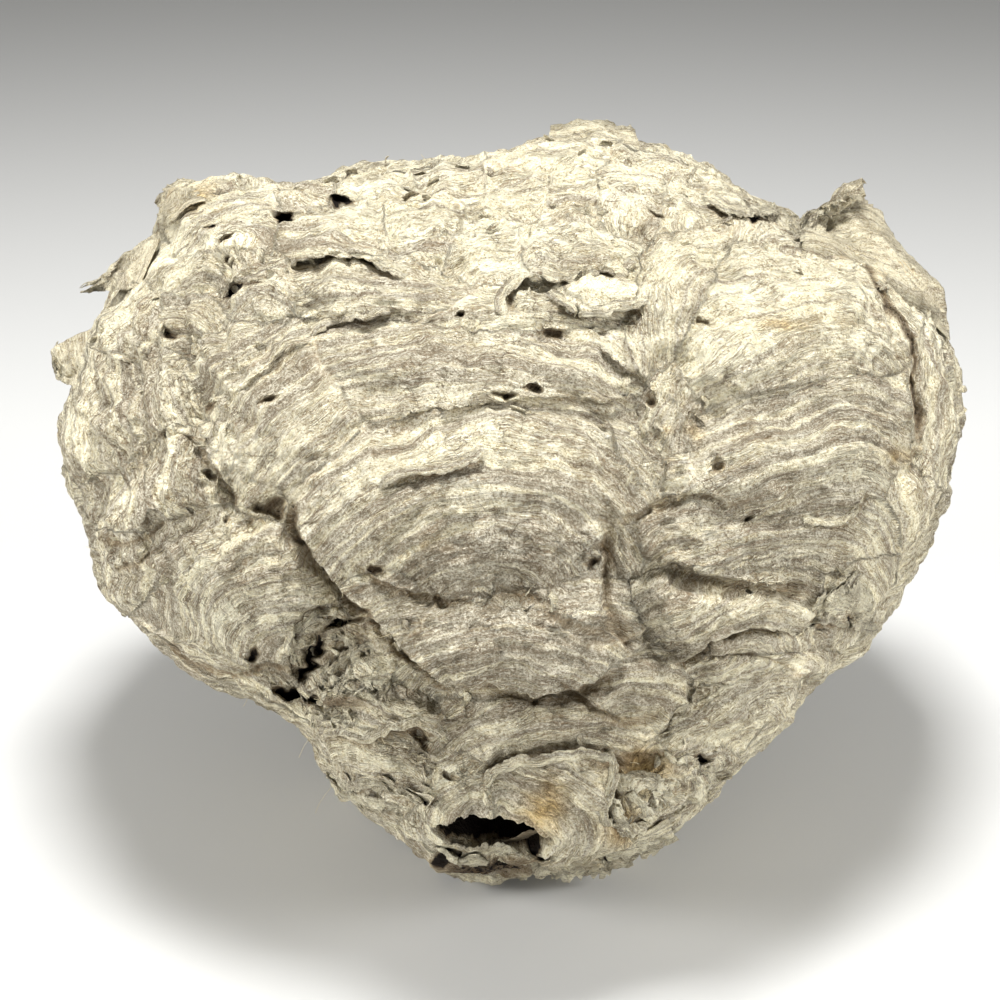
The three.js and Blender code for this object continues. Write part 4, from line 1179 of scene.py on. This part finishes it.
# Sheets: how ragged, how crumpled in mm, how dark, and rows of x, y and height from the root. How dark is
# partly the brown of the inner paper and partly painted shade, most on the layer deep in the entrance.
INNER = {
    "mouth_layer": (0.1, 0.8, 0.6, (
        ((448, 846, -26), (476, 852, -22), (512, 846, -20), (548, 826, -24)),
        ((452, 848, -18), (478, 848, -15), (512, 840, -14), (546, 828, -16)),
        ((458, 846, -12), (482, 846, -10), (512, 838, -9), (540, 830, -10)))),
    "mouth_tongue": (0.35, 1.0, 0.0, (
        ((456, 868, -8), (490, 872, -9), (530, 868, -8)),
        ((462, 854, -2), (492, 850, 1), (522, 854, -1)),
        ((470, 846, -3), (495, 838, -1), (512, 846, -2)))),
    "mouth_curl": (0.4, 1.0, 0.0, (
        ((430, 848, -4), (442, 860, -4), (456, 872, -4)),
        ((440, 846, 2), (450, 856, 4), (464, 868, 3)),
        ((448, 850, 3), (458, 860, 5), (470, 872, 4)))),
    "mouth_flake": (0.3, 0.8, 0.0, (
        ((458, 876, -4), (474, 878, -4), (492, 879, -4)),
        ((456, 864, 3), (474, 862, 5), (494, 866, 4)),
        ((462, 858, 2), (476, 854, 3), (490, 860, 2)))),
    "mouth_rim": (0.5, 1.0, 0.0, (
        ((432, 856, -4), (452, 868, -3), (496, 873, -3), (530, 871, -3)),
        ((434, 862, 2), (450, 874, 3), (494, 878, 4), (528, 876, 3)),
        ((440, 868, 1), (454, 880, 2), (494, 882, 2), (526, 881, 2)))),
    "mouth_right": (0.4, 1.0, 0.1, (
        ((528, 862, -6), (544, 860, -6), (562, 858, -5)),
        ((534, 872, 2), (550, 866, 3), (568, 862, 2)),
        ((536, 880, 3), (552, 878, 4), (572, 868, 3)))),
    "mouth_layers": (0.5, 0.9, 0.2, (
        ((560, 854, -3), (590, 856, -3), (622, 850, -3)),
        ((562, 864, 2), (592, 865, 3), (624, 858, 2)),
        ((564, 873, 1), (594, 874, 2), (628, 865, 1)))),
    "socket_rim": (0.3, 0.9, 0.0, (
        ((290, 672, -5), (284, 650, -5), (290, 624, -5), (312, 608, -5), (340, 606, -5)),
        ((294, 668, 2), (289, 648, 2), (296, 628, 2), (314, 614, 2), (338, 611, 2)),
        ((301, 662, 1), (297, 648, 1), (304, 634, 1), (318, 622, 1), (336, 618, 1)))),
    "socket_crumple_1": (0.35, 1.8, 0.1, (
        ((318, 618, -8), (338, 620, -8), (356, 628, -8)),
        ((322, 630, -2), (340, 632, -1), (358, 638, -2)),
        ((318, 642, -1), (336, 646, 0), (352, 650, -1)))),
    "socket_crumple_2": (0.35, 1.8, 0.1, (
        ((322, 684, -7), (342, 676, -7), (362, 664, -7)),
        ((320, 672, -1), (340, 664, 0), (358, 652, -1)),
        ((324, 660, 0), (340, 652, 1), (354, 644, 0)))),
    "socket_crumple_3": (0.35, 1.6, 0.2, (
        ((300, 640, -7), (302, 654, -7), (304, 668, -7)),
        ((308, 638, -3), (310, 652, -2), (312, 666, -3)),
        ((316, 640, -2), (317, 652, -1), (318, 664, -2)))),
    "torn_shelf": (0.45, 2.2, 0.0, (
        ((352, 650, -2), (374, 640, -2), (398, 650, -2)),
        ((344, 670, 3), (366, 664, 5), (396, 668, 4)),
        ((326, 686, 4), (352, 682, 6), (388, 684, 5)),
        ((318, 700, 3), (346, 704, 5), (384, 700, 4)))),
    "gap_shreds": (0.55, 2.2, 0.1, (
        ((300, 700, -4), (324, 704, -4), (350, 708, -4)),
        ((304, 708, 2), (326, 712, 3), (350, 716, 3)),
        ((312, 720, 3), (332, 724, 4), (352, 726, 3)))),
    "window_paper": (0.35, 0.9, 0.05, (
        ((614, 774, -3), (642, 768, -3), (674, 772, -3)),
        ((616, 784, 2), (643, 778, 4), (674, 784, 2)),
        ((622, 800, 2), (644, 796, 5), (668, 798, 2)))),
    "window_curl": (0.3, 0.8, 0.0, (
        ((604, 800, -2), (610, 820, -2), (620, 838, -2)),
        ((611, 798, 5), (618, 816, 7), (628, 834, 5)),
        ((620, 800, 5), (626, 815, 6), (634, 830, 4)))),
    "window_curl_2": (0.3, 0.8, 0.0, (
        ((624, 796, -1), (634, 812, -1), (646, 826, -1)),
        ((632, 792, 5), (642, 806, 7), (653, 820, 5)),
        ((641, 792, 4), (650, 803, 6), (659, 814, 4)))),
    "tail_flap": (0.3, 0.8, 0.0, (
        ((684, 762, -3), (698, 760, -3), (713, 762, -3)),
        ((683, 776, 2), (698, 774, 5), (714, 775, 3)),
        ((686, 790, 2), (699, 790, 4), (711, 787, 2)))),
    "tail_curl": (0.4, 1.6, 0.0, (
        ((668, 764, -3), (684, 780, -3), (690, 804, -3)),
        ((680, 758, 2), (694, 774, 4), (702, 798, 2)),
        ((692, 754, 2), (708, 768, 3), (714, 790, 2)))),
    "window_scrap": (0.5, 1.8, 0.0, (
        ((650, 776, -2), (664, 782, -2), (684, 786, -2)),
        ((652, 790, 3), (666, 796, 4), (684, 798, 3)),
        ((656, 804, 2), (668, 808, 3), (682, 810, 2)))),
    "lip_scrap": (0.5, 1.8, 0.0, (
        ((606, 830, -2), (622, 838, -2), (640, 838, -2)),
        ((616, 816, 3), (630, 824, 4), (648, 824, 3)),
        ((628, 806, 2), (640, 812, 3), (654, 814, 2)))),
    "lip_tip_right": (0.3, 0.9, 0.0, (
        ((600, 838, -4), (636, 836, -4), (668, 818, -4)),
        ((606, 856, 2), (640, 850, 4), (674, 834, 3)),
        ((612, 868, 1), (642, 863, 2), (682, 842, 1)))),
    "lip_tip_lower": (0.4, 0.9, 0.0, (
        ((552, 852, -3), (590, 852, -3), (628, 846, -3)),
        ((550, 868, 2), (592, 868, 3), (630, 858, 3)),
        ((552, 880, 1), (596, 880, 1), (634, 866, 1)))),
    "chin_hem": (0.4, 0.8, 0.0, (
        ((322, 766, -3), (352, 792, -3), (396, 800, -3)),
        ((326, 776, 2), (354, 800, 3), (398, 808, 2)),
        ((324, 784, 1), (352, 808, 1), (396, 816, 1)))),
    "belt_standing": (0.3, 0.8, 0.0, (
        ((812, 624, -2), (838, 628, -2), (870, 626, -2)),
        ((812, 606, 4), (838, 604, 5), (872, 604, 4)),
        ((822, 590, 5), (846, 582, 6), (866, 576, 4)))),
}
inner = [lay_sheet(name, over(face_depth, rows), ragged_edge, crumple, 500 + 9 * seed,
                   step_mm=1.0, warmth=0.95, brown_and_shade=brown_and_shade)
         for seed, (name, (ragged_edge, crumple, brown_and_shade, rows)) in enumerate(INNER.items())]
one_piece("inner_paper", inner)

# ---- Loose flakes and hairs --------------------------------------------------------------
# Scraps of the outer layer that have lifted beside the creases, and single wood fibres that have
# worked loose.

# Widths, lengths, lifts and curls are in mm, each drawn between its two ends.
FLAKES = 230
FLAKE_WIDTH = (0.8, 2.4)
FLAKE_LENGTH = (1.0, 2.6)
FLAKE_LIFT = (0.5, 1.3)
FLAKE_CURL = (-0.4, 0.8)
FLAKE_WARMTH = (0.4, 1.0)
HAIRS = 90
HAIR_RADIUS = 0.06
HAIR_STEP = (0.25, 0.8)

FLOOR_CLEARANCE = 12

# Places with more of them: x, y and reach in grid steps.
SCUFFED = ((672, 440, 50), (340, 700, 60), (400, 770, 50), (660, 770, 50), (830, 225, 30))
choose = np.random.default_rng(23)
likely = (0.03 + creased + 0.5 * smooth(420, 190, grid_y) + 1.2 * crushed) * (points[:, 2] > FLOOR_CLEARANCE)
for cx, cy, reach in SCUFFED:
    likely += 3 * patch(cx, cy, reach, reach) * front
likely *= (pushed_in < 0.1) * (gap < 6)
likely /= likely.sum()
flakes = []
for number in range(FLAKES):
    index = choose.choice(len(points), p=likely)
    normal, spot = normals[index], points[index]
    sideways = np.cross(normal, choose.normal(0, 1, 3))
    sideways /= np.linalg.norm(sideways)
    onward = np.cross(sideways, normal)
    width, length = choose.uniform(*FLAKE_WIDTH), choose.uniform(*FLAKE_LENGTH)
    lift, curl = choose.uniform(*FLAKE_LIFT), choose.uniform(*FLAKE_CURL)
    across_way = np.linspace(-1, 1, 5)[:, None] * width * sideways
    bow = (1 - np.linspace(-1, 1, 5)[:, None] ** 2)
    rows = [spot - 0.7 * normal - 0.5 * onward + across_way,
            spot + lift * normal + 0.5 * length * onward + 0.9 * across_way + 0.3 * bow * normal,
            spot + (lift + curl) * normal + length * (0.6 + 0.5 * bow) * onward + 0.7 * across_way]
    flakes.append(lay_sheet("flake", rows, 0.5, 0.5, 700 + number, step_mm=0.8,
                            warmth=choose.uniform(*FLAKE_WARMTH)))
one_piece("loose_flakes", flakes)

threads = bpy.data.curves.new("hairs", "CURVE")
threads.dimensions = "3D"
threads.bevel_depth = HAIR_RADIUS * MM
threads.bevel_resolution = 0
threads.use_fill_caps = True
for _ in range(HAIRS):
    index = choose.choice(len(points), p=likely)
    steps = normals[index] * 1.0 + np.cumsum(choose.normal(0, 0.35, (9, 3)), axis=0)
    path = points[index] - normals[index] + np.cumsum(steps, axis=0) * choose.uniform(*HAIR_STEP)
    path[:, 2] = np.maximum(path[:, 2], 0.5)
    thread = threads.splines.new("POLY")
    thread.points.add(len(path) - 1)
    thread.points.foreach_set("co", np.column_stack([path * MM, np.ones(len(path))]).ravel())
hairs = bpy.data.objects.new("hairs", threads)
bpy.context.collection.objects.link(hairs)
bpy.ops.object.select_all(action="DESELECT")
hairs.select_set(True)
bpy.context.view_layer.objects.active = hairs
bpy.ops.object.convert(target="MESH")
hairs = bpy.context.object


def plain_finish(name, colour, roughness):
    """A finish of one even colour."""
    plain = Finish(name)
    plain.shader.inputs["Base Color"].default_value = colour
    plain.shader.inputs["Roughness"].default_value = roughness
    return plain.material


hairs.data.materials.append(plain_finish("hair", srgb(206, 194, 160), 0.8))
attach(hairs, "root")
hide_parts("paper_envelope")

# ---- The table top, the light and the camera ---------------------------------------------
# A plain pale surface under the nest, soft lamps above and beside it, and a camera that looks
# down on its face.

FLOOR_SIDE = 6
bpy.ops.object.select_all(action="DESELECT")
bpy.ops.mesh.primitive_plane_add(size=FLOOR_SIDE, location=(0, 0, 0))
floor = bpy.context.object
floor.name = "floor"
floor.data.materials.append(plain_finish("floor", srgb(200, 200, 198), 0.7))

# Lamps: name, place in metres, side in metres, power in watts.
LAMPS = (("top", (0.0, 0.0, 1.1), 0.3, 15.7), ("left", (-0.95, -0.3, 0.45), 0.3, 8.3),
         ("right", (0.95, -0.3, 0.45), 0.3, 8.0), ("front", (0.0, -1.2, 0.2), 0.5, 6.0))
aim = bpy.data.objects.new("aim", None)
bpy.context.collection.objects.link(aim)
aim.location = (0, 0, 0.1)
for name, place_m, side_m, watts in LAMPS:
    bpy.ops.object.light_add(type="AREA", location=place_m)
    lamp = bpy.context.object
    lamp.name = "lamp_" + name
    lamp.data.size = side_m
    lamp.data.energy = watts
    direction_to_aim = aim.location - lamp.location
    lamp.rotation_euler = direction_to_aim.to_track_quat("-Z", "Y").to_euler()
world = bpy.data.worlds.new("room")
world.use_nodes = True
world.node_tree.nodes["Background"].inputs["Color"].default_value = (1.0, 0.99, 0.96, 1.0)
world.node_tree.nodes["Background"].inputs["Strength"].default_value = 0.25
bpy.context.scene.world = world
bpy.context.scene.view_settings.view_transform = "Standard"

SENSOR = 36.0
FRAME_WIDTH = 2 * GRID_MIDDLE * GRID_STEP
bpy.ops.object.camera_add()
camera = bpy.context.object
camera.name = "camera"
camera.data.sensor_width = SENSOR
camera.data.lens = SENSOR * VIEW_DISTANCE / FRAME_WIDTH
camera.data.clip_start = 0.01
camera.location = (OUT * VIEW_DISTANCE - ORIGIN) * MM
camera.rotation_euler = (math.pi / 2 - FACE_TILT, 0, 0)
bpy.context.scene.camera = camera
